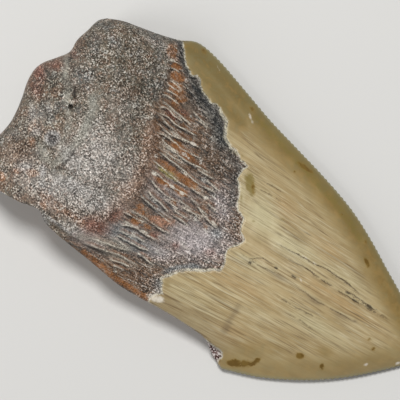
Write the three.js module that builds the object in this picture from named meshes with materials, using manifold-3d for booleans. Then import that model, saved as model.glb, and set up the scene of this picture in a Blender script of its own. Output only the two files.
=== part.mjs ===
// A fossil shark tooth, with part of it lost along a lengthwise break.
// Millimetres. +X runs from the root to the tip, +Y towards the whole cutting edge, and +Z out of
// the lingual face. The tooth lies on its labial face, which touches z = 0 with flat worn lands.
//
// The outline is walked anticlockwise seen from +Z: the break, the shorter cutting edge, the tip,
// the whole cutting edge, the side of the root and the base of the root. Two sheets, lingual and
// labial, span the outline and a wall joins them.

import {
  BufferAttribute, BufferGeometry, CatmullRomCurve3, CurvePath, CylinderGeometry, ExtrudeGeometry, Group,
  MathUtils, Mesh, MeshStandardMaterial, Shape, Vector2, Vector3,
} from 'three';
import { ImprovedNoise } from 'three/addons/math/ImprovedNoise.js';
import { mergeVertices } from 'three/addons/utils/BufferGeometryUtils.js';
import Module from 'manifold-3d';

const { lerp, smoothstep, degToRad } = MathUtils;

// Driving dimensions

const LINGUAL_ENAMEL = 0.45; // height of the step at the broken edge of the enamel
const LABIAL_ENAMEL = 0.2;
const CROWN_PROFILE = 2.2; // power of the share across at which the crown falls to its cutting edges
const ROOT_PROFILE = { power: 2.5, fall: 0.3 }; // the root falls only by this share of its height
const LABIAL_PROFILE = { crown: 3, root: 2 }; // the same powers for the labial face
const EDGE_DENTINE = 0.15; // thickness of the dentine that runs out under the cutting edges
const EDGE_ENAMEL = 0.2; // how far the enamel of the cutting edges stands out past the dentine
const BREAK_CHIPPING = 0.25; // how far the enamel is chipped back from the break
const EDGE_HEIGHT = 1.15; // of the cutting edges above the flat labial face
const LAND_SINK = 0.16; // how far the labial bulge is worn down to a flat land
const LABIAL_HOLLOW = { x: -24, halfLength: 7.5, depth: 1.7 };
const LABIAL_TIP = { from: 16, to: 50, rise: 0.9 }; // the labial face lifts off the land towards the tip
const LABIAL_ROOT_RISE = 0.9; // how much the labial face of the root rises towards its sides
const LEAST_WIDTH = 0.5; // the tooth counts as this wide at its tip
const LABIAL_LUMPS_SHIFT = 40; // the labial face takes its lumps from another stretch of the same noise

const SERRATION_PITCH = 1.0;
const SERRATION_DEPTH = 0.26;
const SERRATION_FADE = 5; // the serrations run out over this length at each end of an edge

const ROOT_ROUNDING = 5; // radius of the worn edge of the root, lingual side
const LABIAL_ROUNDING = 4;
const ROOT_WALL_BULGE = 0.5;
const BREAK_ROUNDING = 0.5;
const BREAK_LEAN = 1.3; // the break face leans in by this much towards the labial face
const BREAK_RELIEF = 1.4;
const WALL_FADE = 3; // the shape of each part of the wall runs out over this length at its ends
const INSET_AT_ENDS = 0.4; // the share of an inset that is left at the ends of its part of the outline
const LEDGE_DEPTH = 1.7; // of the step beside the break, below the face of the root

const ROOT_END = {
  breakSide: { y: -8, from: -34, to: -10 },
  wholeSide: { y: 24, from: -38, to: -19.5 },
};
const NECK_DROP = 0.35; // where the enamel of the neck is lost, below the face of the root
const NECK_LINE_BLUR = { from: -0.6, to: 1.6 }; // past the neck line, as the root gives way to the neck
const RIDGE_HEIGHT = 0.5;
const RIDGE_FADE = { from: 7, to: 19, share: 0.65 }; // past the neck line, towards the crown
const RIDGE_VARIETY = { least: 0.75, noise: 0.5, length: 6, width: 1.9, layer: 3.5 };
const LUMPS = [{ height: 0.8, size: 5.5, layer: 0.5 }, { height: 0.5, size: 2.4, layer: 7.5 }];
const NECK_LUMPS = 0.15; // the share of the lumps that is left on the neck and the crown
const BREAK_LUMPS = { size: 4.5, layers: 4 };

// Outline, anticlockwise

const BREAK_EDGE = [
  [-45.4, -18.6], [-43.2, -18.7], [-38.5, -18.6], [-34.2, -18.0], [-32.8, -18.4], [-31.9, -19.5],
  [-27.9, -20.6], [-20.1, -21.9], [-12.2, -23.3], [-7.4, -23.4], [-0.3, -23.3], [7.1, -23.8],
  [9.0, -24.3], [11.2, -26.1], [14.6, -27.9],
];
const SHORT_CUTTING_EDGE = [
  [14.6, -27.9], [18.3, -26.8], [22.2, -25.5], [27.8, -22.9], [33.2, -19.8], [38.2, -16.2],
  [42.9, -12.1], [45.8, -9.3], [48.1, -6.7], [49.3, -4.8],
];
const TIP = [[49.3, -4.8], [49.7, -3.9], [49.3, -2.9]];
const WHOLE_CUTTING_EDGE = [
  [49.3, -2.9], [43.6, 1.1], [37.9, 4.6], [34.0, 6.9], [28.1, 10.5], [21.5, 13.9], [13.8, 16.7],
  [5.8, 19.1], [-2.3, 21.5], [-9.8, 24.2], [-17.5, 26.9], [-21.9, 27.9], [-23.5, 27.9], [-24.9, 27.4],
];
const ROOT_SIDE = [
  [-24.9, 27.4], [-26.7, 26.5], [-30.8, 25.4], [-35.1, 24.6], [-38.9, 23.9], [-41.8, 22.8],
];
const ROOT_BASE = [
  [-41.8, 22.8], [-43.1, 21.6], [-44.0, 18.7], [-44.9, 15.8], [-45.0, 13.1], [-46.3, 11.2],
  [-48.8, 8.1], [-49.5, 6.1], [-49.5, 3.7], [-48.7, -0.6], [-48.3, -5.1], [-48.7, -7.9],
  [-49.5, -11.2], [-48.9, -14.2], [-47.5, -17.0], [-45.4, -18.6],
];

const ROOT_CORNER = [-50, 22]; // the whole side is taken to run on to here
// Where the cutting edge ran before the break, which the swell of both faces still follows
const LOST_CUTTING_EDGE = [[-50, -35], [-24, -37], [-15, -36], [0, -32.5], [14.6, -27.9]];

// Height of the lingual face above the labial one, along the middle of the whole tooth
const SWELL = [
  [-50, 11.5], [-43, 14.6], [-34, 16.4], [-22, 16.0], [-8, 13.9], [8, 11.6], [22, 9.2], [34, 6.6], [42, 4.4],
  [47, 2.3], [50, 0.5],
];

// The broken edge of the enamel across the lingual face, from the whole cutting edge to the break
const LINGUAL_ENAMEL_EDGE = [
  [-26.8, 27.9], [-25.6, 26.2], [-24.7, 25.1], [-23.7, 23.8], [-22.9, 22.8], [-21.8, 22.1],
  [-21, 21.5], [-20, 21.9], [-18.9, 21.6], [-18, 20.4], [-17.3, 19.7], [-15.8, 19.1], [-14.6, 18.6],
  [-13.5, 18.8], [-12.4, 18.5], [-11.8, 17.9], [-10.6, 17.4], [-9.7, 16.7], [-9.3, 15.5], [-8.8, 14.7],
  [-8.5, 13.8], [-7.5, 13.3], [-6.4, 12.7], [-5.5, 12.7], [-4.5, 12.2], [-3.3, 11.4], [-2.5, 11.2],
  [-1.4, 10.9], [-2, 9.6], [-2.1, 8.5], [-2.1, 7.6], [-1, 6.6], [-0.1, 5], [0.5, 3.2], [1.3, 2.2],
  [2.2, 1.8], [3.3, 1.2], [3.3, -0.1], [3.8, -1.3], [4.8, -1.9], [5.5, -2.7], [5, -3.9], [3.8, -5.1],
  [3.4, -6], [3.6, -7.1], [4.3, -8.3], [4.3, -9.3], [4.3, -10.5], [3.2, -10.9], [1.5, -12.1],
  [-0.3, -13.1], [-1.6, -13.7], [-2.9, -14.8], [-4, -16.2], [-4.8, -17.2], [-5.4, -17.7],
  [-4.7, -18.5], [-4, -19.8], [-3.3, -20.3], [-4, -20.7], [-4.8, -21.4], [-5.2, -22.3], [-5.2, -25.2],
];
const LABIAL_ENAMEL_EDGE = [
  [-27.5, 30], [-27.5, 26.2], [-25, 21.5], [-22.6, 15], [-21, 8], [-20.3, 1], [-20.6, -6], [-21.6, -13],
  [-23.6, -19], [-25, -24],
];
const BEYOND_THE_TIP = 60;
const LINGUAL_ENAMEL_FROM = 1.0; // the two enamel faces overlap between these heights, inside the edges
const LABIAL_ENAMEL_UP_TO = 2.4;

// The line where the face of the root gives way to the ridged neck, as x against y
const NECK_LINE = [
  [-30, -30], [-23, -28], [-18, -25], [-14.9, -22.2], [-10.2, -20.2], [-5.6, -18.4], [-1, -18.7], [4, -20.3],
  [7.5, -22.4], [12.4, -24.2], [16.7, -24.9], [21.8, -26.4], [26.3, -27.5], [30, -28],
];
// The upper rim of the ledge beside the break, as y against x
const LEDGE_RIM = [[-33, -18.6], [-30.5, -18.7], [-27.8, -18.8], [-21, -19.1], [-17.9, -18.5], [-14, -18.1]];
const LEDGE_SPAN = { from: -32.8, to: -14.5, runIn: 1.4, runOut: 4.2, slope: 0.7 };

// Swells and hollows of the lingual face: centre, radii, turn of the long axis and height
const SWELLS = [
  { name: 'boss of the root', at: [-28, -3.5], radii: [8, 11], turn: 10, height: 1.5 },
  { name: 'upper lobe', at: [-39, 18], radii: [5, 4.5], turn: 0, height: 0.7 },
  { name: 'lower lobe', at: [-44.5, -11], radii: [3.6, 5], turn: 0, height: 0.8 },
  { name: 'hollow before the ridges', at: [-26.6, 13], radii: [4, 5.5], turn: 15, height: -1.1 },
  { name: 'stained hollow of the lower lobe', at: [-41, -8], radii: [2.2, 3], turn: -20, height: -0.7 },
  { name: 'worn knob on the break', at: [-5.2, -22.6], radii: [1.7, 1], turn: 0, height: 0.5 },
  { name: 'worn dip of the neck', at: [-16.6, 15], radii: [3, 3], turn: 0, height: -0.4 },
  { name: 'nutrient pit', at: [-38.3, -4.4], radii: [1.1, 1.1], turn: 0, height: -0.6 },
  { name: 'chip at the corner of the break', at: [11.4, -26.0], radii: [2.2, 1.2], turn: -30, height: -1.3 },
];
// Valleys and crests of the lingual face: path, half width and height
const CREASES = [
  {
    name: 'valley of the root',
    path: [[-45, 13.1], [-41.8, 9], [-39.2, 5.4], [-38, 0.9], [-37.4, -3.5], [-37.4, -8.5]],
    halfWidth: 2.6,
    height: -1.1,
  },
  {
    name: 'crest beside the valley',
    path: [[-46, 10.6], [-43, 8.4], [-41.3, 6]],
    halfWidth: 1,
    height: 0.5,
  },
  {
    name: 'rim of the boss',
    path: [[-35.3, 8], [-34.7, 4.6], [-34.2, 1.3], [-34.2, -2.2], [-34.6, -5.2], [-35.6, -9]],
    halfWidth: 1.1,
    height: 0.45,
  },
];
const RIDGELESS = [
  { at: [-16.6, 15], radii: [3.5, 3.5], turn: 0, share: 0.85 },
  { at: [-1, -6], radii: [7, 7], turn: 0, share: 0.7 },
];

const FORAMEN = { at: [-38.8, 3.3], radius: 0.65, endRadius: 0.4, depth: 1.6, sides: 10 };

// Sizes of the facets

const FINE_STEP = 1.25; // along the root and the neck
const CROWN_STEP = 2.5;
const CROWN_STARTS = 0.55; // as a share of the tooth's length
const RIDGE_ROWS = 46; // every second row of points is a crest, and the others are furrows
const LABIAL_STEP = 2.6;
const WALL_STEP = 2.6;
const LINGUAL_INSET = 0.9; // of the sheets inside the outline
const LABIAL_INSET = 2.4;
const LENGTH_DIVISIONS = 400;
const MEASURING_POINTS = 160;
const MERGE_WITHIN = 1e-4;
const SIMPLIFY_WITHIN = 0.005;
const COLOUR = 0x9a8c70;

const noise = new ImprovedNoise();

function curveThrough(points) {
  const curve = new CatmullRomCurve3(points.map(([x, y]) => new Vector3(x, y, 0)), false, 'centripetal');
  curve.arcLengthDivisions = LENGTH_DIVISIONS;
  return curve;
}

// A smooth function of one variable that passes through the knots [x, y], x rising
function functionThrough(knots) {
  const slope = (a, b) => (b[1] - a[1]) / (b[0] - a[0]);
  const last = knots.length - 1;
  const slopes = knots.map((knot, i) => slope(knots[Math.max(0, i - 1)], knots[Math.min(last, i + 1)]));
  return (x) => {
    const at = MathUtils.clamp(x, knots[0][0], knots[last][0]);
    let i = 0;
    while (i < last - 1 && at > knots[i + 1][0]) i += 1;
    const width = knots[i + 1][0] - knots[i][0];
    const t = (at - knots[i][0]) / width;
    const start = (1 + 2 * t) * (1 - t) ** 2 * knots[i][1] + t * (1 - t) ** 2 * width * slopes[i];
    const end = t * t * (3 - 2 * t) * knots[i + 1][1] + t * t * (t - 1) * width * slopes[i + 1];
    return start + end;
  };
}

function distanceTo(path, x, y) {
  let nearest = Infinity;
  for (let i = 0; i < path.length - 1; i += 1) {
    const [ax, ay] = path[i];
    const [dx, dy] = [path[i + 1][0] - ax, path[i + 1][1] - ay];
    const along = MathUtils.clamp(((x - ax) * dx + (y - ay) * dy) / (dx * dx + dy * dy), 0, 1);
    nearest = Math.min(nearest, Math.hypot(x - ax - along * dx, y - ay - along * dy));
  }
  return nearest;
}

// How far the point is inside an ellipse's bell: 1 at its centre, near 0 outside
function bell(x, y, { at, radii, turn }) {
  const angle = degToRad(turn);
  const [dx, dy] = [x - at[0], y - at[1]];
  const along = (dx * Math.cos(angle) + dy * Math.sin(angle)) / radii[0];
  const across = (dy * Math.cos(angle) - dx * Math.sin(angle)) / radii[1];
  return Math.exp(-(along * along + across * across));
}

// How far a rounded edge of this radius has fallen, at a distance inside the outline
function roundedEdge(distance, radius) {
  const inside = Math.max(0, radius - distance);
  return radius - Math.sqrt(radius * radius - inside * inside);
}

const breakCurve = curveThrough(BREAK_EDGE);
const shortEdgeCurve = curveThrough(SHORT_CUTTING_EDGE);
const tipCurve = curveThrough(TIP);
const wholeEdgeCurve = curveThrough(WHOLE_CUTTING_EDGE);
const rootSideCurve = curveThrough(ROOT_SIDE);
const rootBaseCurve = curveThrough(ROOT_BASE);

const pointsOf = (curve) => curve.getSpacedPoints(MEASURING_POINTS).map((point) => [point.x, point.y]);
const rootPath = [...pointsOf(rootSideCurve), ...pointsOf(rootBaseCurve).slice(1)];
const breakPath = pointsOf(breakCurve);

const upperEdgeAt = functionThrough([...WHOLE_CUTTING_EDGE, ...ROOT_SIDE.slice(1), ROOT_CORNER].reverse());
const lowerEdgeAt = functionThrough([...LOST_CUTTING_EDGE, ...SHORT_CUTTING_EDGE.slice(1)]);
const swellAt = functionThrough(SWELL);
const neckLineAt = functionThrough(NECK_LINE);
const ledgeRimAt = functionThrough(LEDGE_RIM);

// Where a point lies across the whole tooth: -1 and 1 at its cutting edges, 0 on the middle
function shareAcross(x, y) {
  const upper = upperEdgeAt(x);
  const lower = lowerEdgeAt(x);
  return MathUtils.clamp((2 * y - upper - lower) / Math.max(LEAST_WIDTH, upper - lower), -1, 1);
}

// 1 on the root, where the sides are thick and rounded, and 0 on the crown. The root ends short of
// the whole cutting edge, and runs further towards the tip beside the break.
function rootShare(x, y) {
  const side = smoothstep(y, ROOT_END.breakSide.y, ROOT_END.wholeSide.y);
  const from = lerp(ROOT_END.breakSide.from, ROOT_END.wholeSide.from, side);
  return 1 - smoothstep(x, from, lerp(ROOT_END.breakSide.to, ROOT_END.wholeSide.to, side));
}

const neckShare = (x, y) => smoothstep(x - neckLineAt(y), NECK_LINE_BLUR.from, NECK_LINE_BLUR.to);

function ledgeDrop(x, y) {
  const reach = smoothstep(x, LEDGE_SPAN.from, LEDGE_SPAN.from + LEDGE_SPAN.runIn)
    * (1 - smoothstep(x, LEDGE_SPAN.to - LEDGE_SPAN.runOut, LEDGE_SPAN.to));
  return LEDGE_DEPTH * reach * smoothstep(ledgeRimAt(x) - y, 0, LEDGE_SPAN.slope);
}

function lumps(x, y) {
  return LUMPS.reduce(
    (sum, { height, size, layer }) => sum + height * noise.noise(x / size, y / size, layer),
    0,
  );
}

function lingualHeight(x, y) {
  const across = Math.abs(shareAcross(x, y));
  const root = rootShare(x, y);
  const crownProfile = 1 - across ** CROWN_PROFILE;
  const rootProfile = 1 - ROOT_PROFILE.fall * across ** ROOT_PROFILE.power;
  const profile = lerp(crownProfile, rootProfile, root);
  let height = EDGE_HEIGHT + EDGE_DENTINE + (swellAt(x) - EDGE_HEIGHT) * profile;
  SWELLS.forEach((swell) => { height += swell.height * bell(x, y, swell); });
  CREASES.forEach((crease) => {
    height += crease.height * Math.exp(-((distanceTo(crease.path, x, y) / crease.halfWidth) ** 2));
  });
  const neck = neckShare(x, y);
  height -= NECK_DROP * neck * (1 - across ** 2) + ledgeDrop(x, y);
  height += lumps(x, y) * lerp(1, NECK_LUMPS, neck);
  height -= roundedEdge(distanceTo(rootPath, x, y), ROOT_ROUNDING * root);
  return height - roundedEdge(distanceTo(breakPath, x, y), BREAK_ROUNDING);
}

// The ridges of the neck are highest where they leave the root, and fade towards the crown
function ridgeHeight(x, y) {
  const { least, length, width, layer } = RIDGE_VARIETY;
  const faded = RIDGE_FADE.share * smoothstep(x - neckLineAt(y), RIDGE_FADE.from, RIDGE_FADE.to);
  let height = RIDGE_HEIGHT * neckShare(x, y) * (1 - faded);
  height *= least + RIDGE_VARIETY.noise * noise.noise(x / length, y / width, layer);
  RIDGELESS.forEach((patch) => { height *= 1 - patch.share * bell(x, y, patch); });
  return height;
}

function labialHeight(x, y) {
  const across = Math.abs(shareAcross(x, y));
  const root = rootShare(x, y);
  const towardsEdges = across ** LABIAL_PROFILE.crown;
  const hollow = Math.exp(-(((x - LABIAL_HOLLOW.x) / LABIAL_HOLLOW.halfLength) ** 2));
  const tip = smoothstep(x, LABIAL_TIP.from, LABIAL_TIP.to);
  const crownRise = (EDGE_HEIGHT + LAND_SINK) * towardsEdges;
  let height = (LABIAL_HOLLOW.depth * hollow + LABIAL_TIP.rise * tip) * (1 - towardsEdges) - LAND_SINK;
  height += lerp(crownRise, LABIAL_ROOT_RISE * across ** LABIAL_PROFILE.root, root);
  height += lumps(x + LABIAL_LUMPS_SHIFT, y) * root;
  return height + roundedEdge(distanceTo(rootPath, x, y), LABIAL_ROUNDING * root);
}

// One part of the outline, as points with their place t along the outline and the shape of the wall.
// t runs from 0 to 1 along the broken side, to 2 round the tip, to 3 along the whole side and to 4
// along the base of the root.
function outlinePart(curve, part) {
  const { from, to, step, serrated = false, inset = 0, bulge = 0, lean = 0, relief = 0 } = part;
  const length = curve.getLength();
  const count = Math.max(2, Math.round(length / step));
  return Array.from({ length: count }, (_, i) => {
    const share = i / count;
    const fromEnd = Math.min(share, 1 - share) * length;
    const point = curve.getPointAt(share);
    const tangent = curve.getTangentAt(share);
    const inward = [-tangent.y, tangent.x];
    const notch = serrated ? SERRATION_DEPTH * smoothstep(fromEnd, 0, SERRATION_FADE) * (i % 2 - 0.5) : 0;
    const fade = smoothstep(fromEnd, 0, WALL_FADE);
    return {
      x: point.x + inward[0] * (inset * lerp(INSET_AT_ENDS, 1, fade) + notch),
      y: point.y + inward[1] * (inset * lerp(INSET_AT_ENDS, 1, fade) + notch),
      t: lerp(from, to, share),
      inward,
      bulge: bulge * fade,
      lean: lean * fade,
      relief: relief * fade,
    };
  });
}

const lowerLength = breakCurve.getLength() + shortEdgeCurve.getLength();
const upperLength = wholeEdgeCurve.getLength() + rootSideCurve.getLength();
const toothLength = (lowerLength + upperLength) / 2;
const breakEnds = breakCurve.getLength() / lowerLength;
const wholeEdgeEnds = 2 + wholeEdgeCurve.getLength() / upperLength;

// The whole outline of one body, its cutting edges plain for the dentine and serrated for the enamel
function outlineOf({ breakInset, cuttingEdge }) {
  const broken = { step: FINE_STEP, inset: breakInset, lean: BREAK_LEAN, relief: BREAK_RELIEF };
  const rounded = { step: FINE_STEP, bulge: ROOT_WALL_BULGE };
  return [
    ...outlinePart(breakCurve, { from: 0, to: breakEnds, ...broken }),
    ...outlinePart(shortEdgeCurve, { from: breakEnds, to: 1, ...cuttingEdge }),
    ...outlinePart(tipCurve, { from: 1, to: 2, ...cuttingEdge, serrated: false }),
    ...outlinePart(wholeEdgeCurve, { from: 2, to: wholeEdgeEnds, ...cuttingEdge }),
    ...outlinePart(rootSideCurve, { from: wholeEdgeEnds, to: 3, ...rounded }),
    ...outlinePart(rootBaseCurve, { from: 3, to: 4, ...rounded }),
  ];
}

const lowerSide = new CurvePath();
lowerSide.add(breakCurve);
lowerSide.add(shortEdgeCurve);
const upperSide = new CurvePath();
upperSide.add(wholeEdgeCurve);
upperSide.add(rootSideCurve);

// A point inside the outline: along runs from the base of the root to the tip, across from the
// broken side to the whole cutting edge
function insidePoint(along, across) {
  const low = lowerSide.getPoint(along);
  const high = upperSide.getPoint(1 - along);
  const base = rootBaseCurve.getPointAt(1 - across);
  const tip = tipCurve.getPointAt(across);
  const corner = (curve, share) => curve.getPointAt(share);
  const place = (axis) => lerp(low[axis], high[axis], across) + lerp(base[axis], tip[axis], along)
    - lerp(
      lerp(corner(breakCurve, 0)[axis], corner(rootSideCurve, 1)[axis], across),
      lerp(corner(tipCurve, 0)[axis], corner(tipCurve, 1)[axis], across),
      along,
    );
  return [place('x'), place('y')];
}

// Collects the points and faces of one body
function bodyBuilder() {
  const positions = [];
  const faces = [];
  return {
    point(x, y, z) {
      positions.push(x, y, z);
      return positions.length / 3 - 1;
    },
    // Joins two chains of points with a band of triangles, their t rising alike
    stitch(left, right) {
      let i = 0;
      let j = 0;
      while (i < left.length - 1 || j < right.length - 1) {
        const nextLeft = i < left.length - 1 ? left[i + 1].t : Infinity;
        const nextRight = j < right.length - 1 ? right[j + 1].t : Infinity;
        if (nextLeft <= nextRight) {
          faces.push(left[i].id, right[j].id, left[i + 1].id);
          i += 1;
        } else {
          faces.push(left[i].id, right[j].id, right[j + 1].id);
          j += 1;
        }
      }
    },
    geometry() {
      const geometry = new BufferGeometry();
      geometry.setAttribute('position', new BufferAttribute(new Float32Array(positions), 3));
      geometry.setIndex(faces);
      return geometry;
    },
  };
}

// The places along the tooth of a sheet's columns, and how many steps each column has
function evenColumns(step) {
  const count = Math.round(toothLength / step);
  return Array.from({ length: count + 1 }, (_, i) => i / count)
    .map((share) => ({ share, rows: rowsAcross(share, step) }));
}

// Fine columns along the root and the neck, and coarse ones where the enamel hides the dentine
function ridgedColumns() {
  const fine = Math.round((CROWN_STARTS * toothLength) / FINE_STEP);
  const fineShares = Array.from({ length: fine }, (_, i) => (CROWN_STARTS * i) / fine);
  return [
    ...fineShares.map((share) => ({ share, rows: RIDGE_ROWS })),
    ...evenColumns(CROWN_STEP).filter(({ share }) => share >= CROWN_STARTS),
  ];
}

function widthAt(share) {
  const [ax, ay] = insidePoint(share, 0);
  const [bx, by] = insidePoint(share, 1);
  return Math.hypot(bx - ax, by - ay);
}

function rowsAcross(share, step) {
  return Math.max(2, Math.round(widthAt(share) / step));
}

// Chains of points across the tooth, one for each column, their t and share running from 0 to 1
function sheet(body, columns, inset, heightAt) {
  const inside = (share, margin) => lerp(margin, 1 - margin, share);
  return columns.map(({ share, rows }) => {
    const along = inside(share, (1.5 * inset) / toothLength);
    const margin = inset / widthAt(along);
    return Array.from({ length: rows + 1 }, (_, row) => {
      const [x, y] = insidePoint(along, inside(row / rows, margin));
      return { id: body.point(x, y, heightAt(x, y, row)), t: row / rows, share };
    });
  });
}

// The rim of a sheet as one closed chain, with t running as it does on the outline
function rimOf(chains) {
  const first = chains[0];
  const last = chains[chains.length - 1];
  const inner = chains.slice(1, -1);
  return [
    { id: first[0].id, t: 0 },
    ...inner.map((chain) => ({ id: chain[0].id, t: chain[0].share })),
    ...last.map(({ id, t }) => ({ id, t: 1 + t })),
    ...inner.reverse().map((chain) => ({ id: chain[chain.length - 1].id, t: 3 - chain[0].share })),
    ...[...first].reverse().map(({ id, t }) => ({ id, t: 4 - t })),
  ];
}

// The wall's chain at one point of the outline, from the labial sheet up to the lingual one
function wallChain(body, place, raised, lowered) {
  const at = (inward) => [place.x + place.inward[0] * inward, place.y + place.inward[1] * inward];
  const top = lingualHeight(...at(place.bulge));
  const bottom = Math.max(0, labialHeight(...at(place.bulge + place.lean)) + LABIAL_ENAMEL);
  const levels = Math.max(1, Math.round((top - bottom) / WALL_STEP));
  return Array.from({ length: levels + 1 }, (_, level) => {
    const t = level / levels;
    const { size, layers } = BREAK_LUMPS;
    const rough = Math.abs(noise.noise(place.x / size, place.y / size, t * layers)) * Math.sin(Math.PI * t);
    const inward = place.bulge * (2 * t - 1) ** 2 + place.lean * (1 - t) + place.relief * rough;
    let z = lerp(bottom, top, t);
    if (level === 0) z = Math.max(0, bottom - lowered);
    if (level === levels) z += raised;
    return { id: body.point(...at(inward), z), t };
  });
}

// A closed body over the whole outline. Raising the lingual face and lowering the labial one
// thickens it from dentine to enamel.
function toothBody({ outline, columns, raised = 0, lowered = 0, ridged = false }) {
  const body = bodyBuilder();
  const lingual = sheet(body, columns, LINGUAL_INSET, (x, y, row) => {
    const ridge = ridged ? ridgeHeight(x, y) * (row % 2 - 0.5) : 0;
    return lingualHeight(x, y) + raised + ridge;
  });
  const labial = sheet(body, evenColumns(LABIAL_STEP), LABIAL_INSET, (x, y) => (
    Math.max(0, labialHeight(x, y) + LABIAL_ENAMEL - lowered)
  ));
  const wall = outline.map((place) => wallChain(body, place, raised, lowered));
  const closed = (chain) => [...chain, { id: chain[0].id, t: 4 }];
  const topRing = closed(outline.map(({ t }, i) => ({ id: wall[i][wall[i].length - 1].id, t })));
  const bottomRing = closed(outline.map(({ t }, i) => ({ id: wall[i][0].id, t })));

  for (let i = 0; i < lingual.length - 1; i += 1) body.stitch(lingual[i], lingual[i + 1]);
  for (let i = 0; i < labial.length - 1; i += 1) body.stitch(labial[i + 1], labial[i]);
  body.stitch(rimOf(lingual), topRing);
  body.stitch(bottomRing, rimOf(labial));
  wall.forEach((chain, i) => body.stitch(chain, wall[(i + 1) % wall.length]));
  return body.geometry();
}

function dentineBody() {
  const cuttingEdge = { step: FINE_STEP, inset: EDGE_ENAMEL };
  return toothBody({
    outline: outlineOf({ breakInset: 0, cuttingEdge }),
    columns: ridgedColumns(),
    ridged: true,
  });
}

function enamelBody() {
  const cuttingEdge = { step: SERRATION_PITCH / 2, serrated: true };
  return toothBody({
    outline: outlineOf({ breakInset: BREAK_CHIPPING, cuttingEdge }),
    columns: evenColumns(CROWN_STEP),
    raised: LINGUAL_ENAMEL,
    lowered: LABIAL_ENAMEL,
  });
}

// Everything on the tip's side of an enamel edge, between two heights
function enamelSide(edge, low, high) {
  const corners = [...edge, [BEYOND_THE_TIP, -BEYOND_THE_TIP], [BEYOND_THE_TIP, BEYOND_THE_TIP]];
  const shape = new Shape(corners.map(([x, y]) => new Vector2(x, y)));
  const geometry = new ExtrudeGeometry(shape, { depth: high - low, bevelEnabled: false });
  return geometry.translate(0, 0, low);
}

function foramen() {
  const [x, y] = FORAMEN.at;
  const geometry = new CylinderGeometry(FORAMEN.radius, FORAMEN.endRadius, 2 * FORAMEN.depth, FORAMEN.sides);
  return geometry.rotateX(Math.PI / 2).translate(x, y, lingualHeight(x, y));
}

const wasm = await Module();
wasm.setup();

function solidOf(source) {
  const bare = source.clone();
  bare.deleteAttribute('normal');
  bare.deleteAttribute('uv');
  const { attributes, index } = mergeVertices(bare, MERGE_WITHIN);
  const vertProperties = new Float32Array(attributes.position.array);
  const triVerts = new Uint32Array(index.array);
  return new wasm.Manifold(new wasm.Mesh({ numProp: 3, vertProperties, triVerts }));
}

function geometryOf(solid) {
  const { vertProperties, triVerts } = solid.getMesh();
  const geometry = new BufferGeometry();
  geometry.setAttribute('position', new BufferAttribute(vertProperties, 3));
  geometry.setIndex(new BufferAttribute(triVerts, 1));
  return geometry;
}

function toothGeometry() {
  const enamel = solidOf(enamelBody());
  const lingualSide = enamelSide(LINGUAL_ENAMEL_EDGE, LINGUAL_ENAMEL_FROM, BEYOND_THE_TIP);
  const labialSide = enamelSide(LABIAL_ENAMEL_EDGE, -BEYOND_THE_TIP, LABIAL_ENAMEL_UP_TO);
  const lingual = enamel.intersect(solidOf(lingualSide));
  const labial = enamel.intersect(solidOf(labialSide));
  const joined = solidOf(dentineBody()).add(lingual.add(labial)).subtract(solidOf(foramen()));
  // Slivers of air are left where the faces of dentine and enamel cross, and only the whole is kept
  const [tooth] = joined.simplify(SIMPLIFY_WITHIN).decompose().sort((a, b) => b.volume() - a.volume());
  const geometry = geometryOf(tooth);
  geometry.computeBoundingBox();
  const { min, max } = geometry.boundingBox;
  return geometry.translate(-(min.x + max.x) / 2, -(min.y + max.y) / 2, -min.z);
}

const tooth = new Mesh(
  toothGeometry(),
  new MeshStandardMaterial({ color: COLOUR, roughness: 0.5, metalness: 0, flatShading: true }),
);
tooth.name = 'tooth';

const group = new Group();
group.add(tooth);

export default group;
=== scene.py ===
"""A fossil shark tooth, broken lengthwise, that lies on its labial face in soft studio light.

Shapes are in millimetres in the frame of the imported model: +X from the root to the tip, +Y towards
the whole cutting edge, +Z up out of the lingual face. They become metres when the mesh is made.
"""

import math

import bpy
import numpy as np
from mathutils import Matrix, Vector


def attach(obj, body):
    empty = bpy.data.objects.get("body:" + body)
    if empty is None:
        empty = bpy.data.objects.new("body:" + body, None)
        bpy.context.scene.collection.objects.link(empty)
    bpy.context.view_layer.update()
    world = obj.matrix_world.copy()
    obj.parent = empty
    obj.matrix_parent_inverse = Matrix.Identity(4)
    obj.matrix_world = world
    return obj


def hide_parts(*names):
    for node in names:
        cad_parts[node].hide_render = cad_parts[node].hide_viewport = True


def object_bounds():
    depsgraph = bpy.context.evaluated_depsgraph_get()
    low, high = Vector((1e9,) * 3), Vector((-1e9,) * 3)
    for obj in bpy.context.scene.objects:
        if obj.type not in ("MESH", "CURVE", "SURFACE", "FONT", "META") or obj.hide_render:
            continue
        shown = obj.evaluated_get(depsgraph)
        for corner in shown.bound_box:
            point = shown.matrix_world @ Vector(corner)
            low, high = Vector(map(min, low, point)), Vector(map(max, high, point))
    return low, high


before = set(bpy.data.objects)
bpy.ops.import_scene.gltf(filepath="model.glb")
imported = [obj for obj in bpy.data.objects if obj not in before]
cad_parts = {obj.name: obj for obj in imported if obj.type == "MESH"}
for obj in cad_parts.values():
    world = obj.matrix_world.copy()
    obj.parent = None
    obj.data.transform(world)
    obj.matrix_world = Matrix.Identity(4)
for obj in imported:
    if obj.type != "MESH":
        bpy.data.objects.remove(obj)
CAD_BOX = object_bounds()

MM = 0.001
SEED = 20

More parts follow.
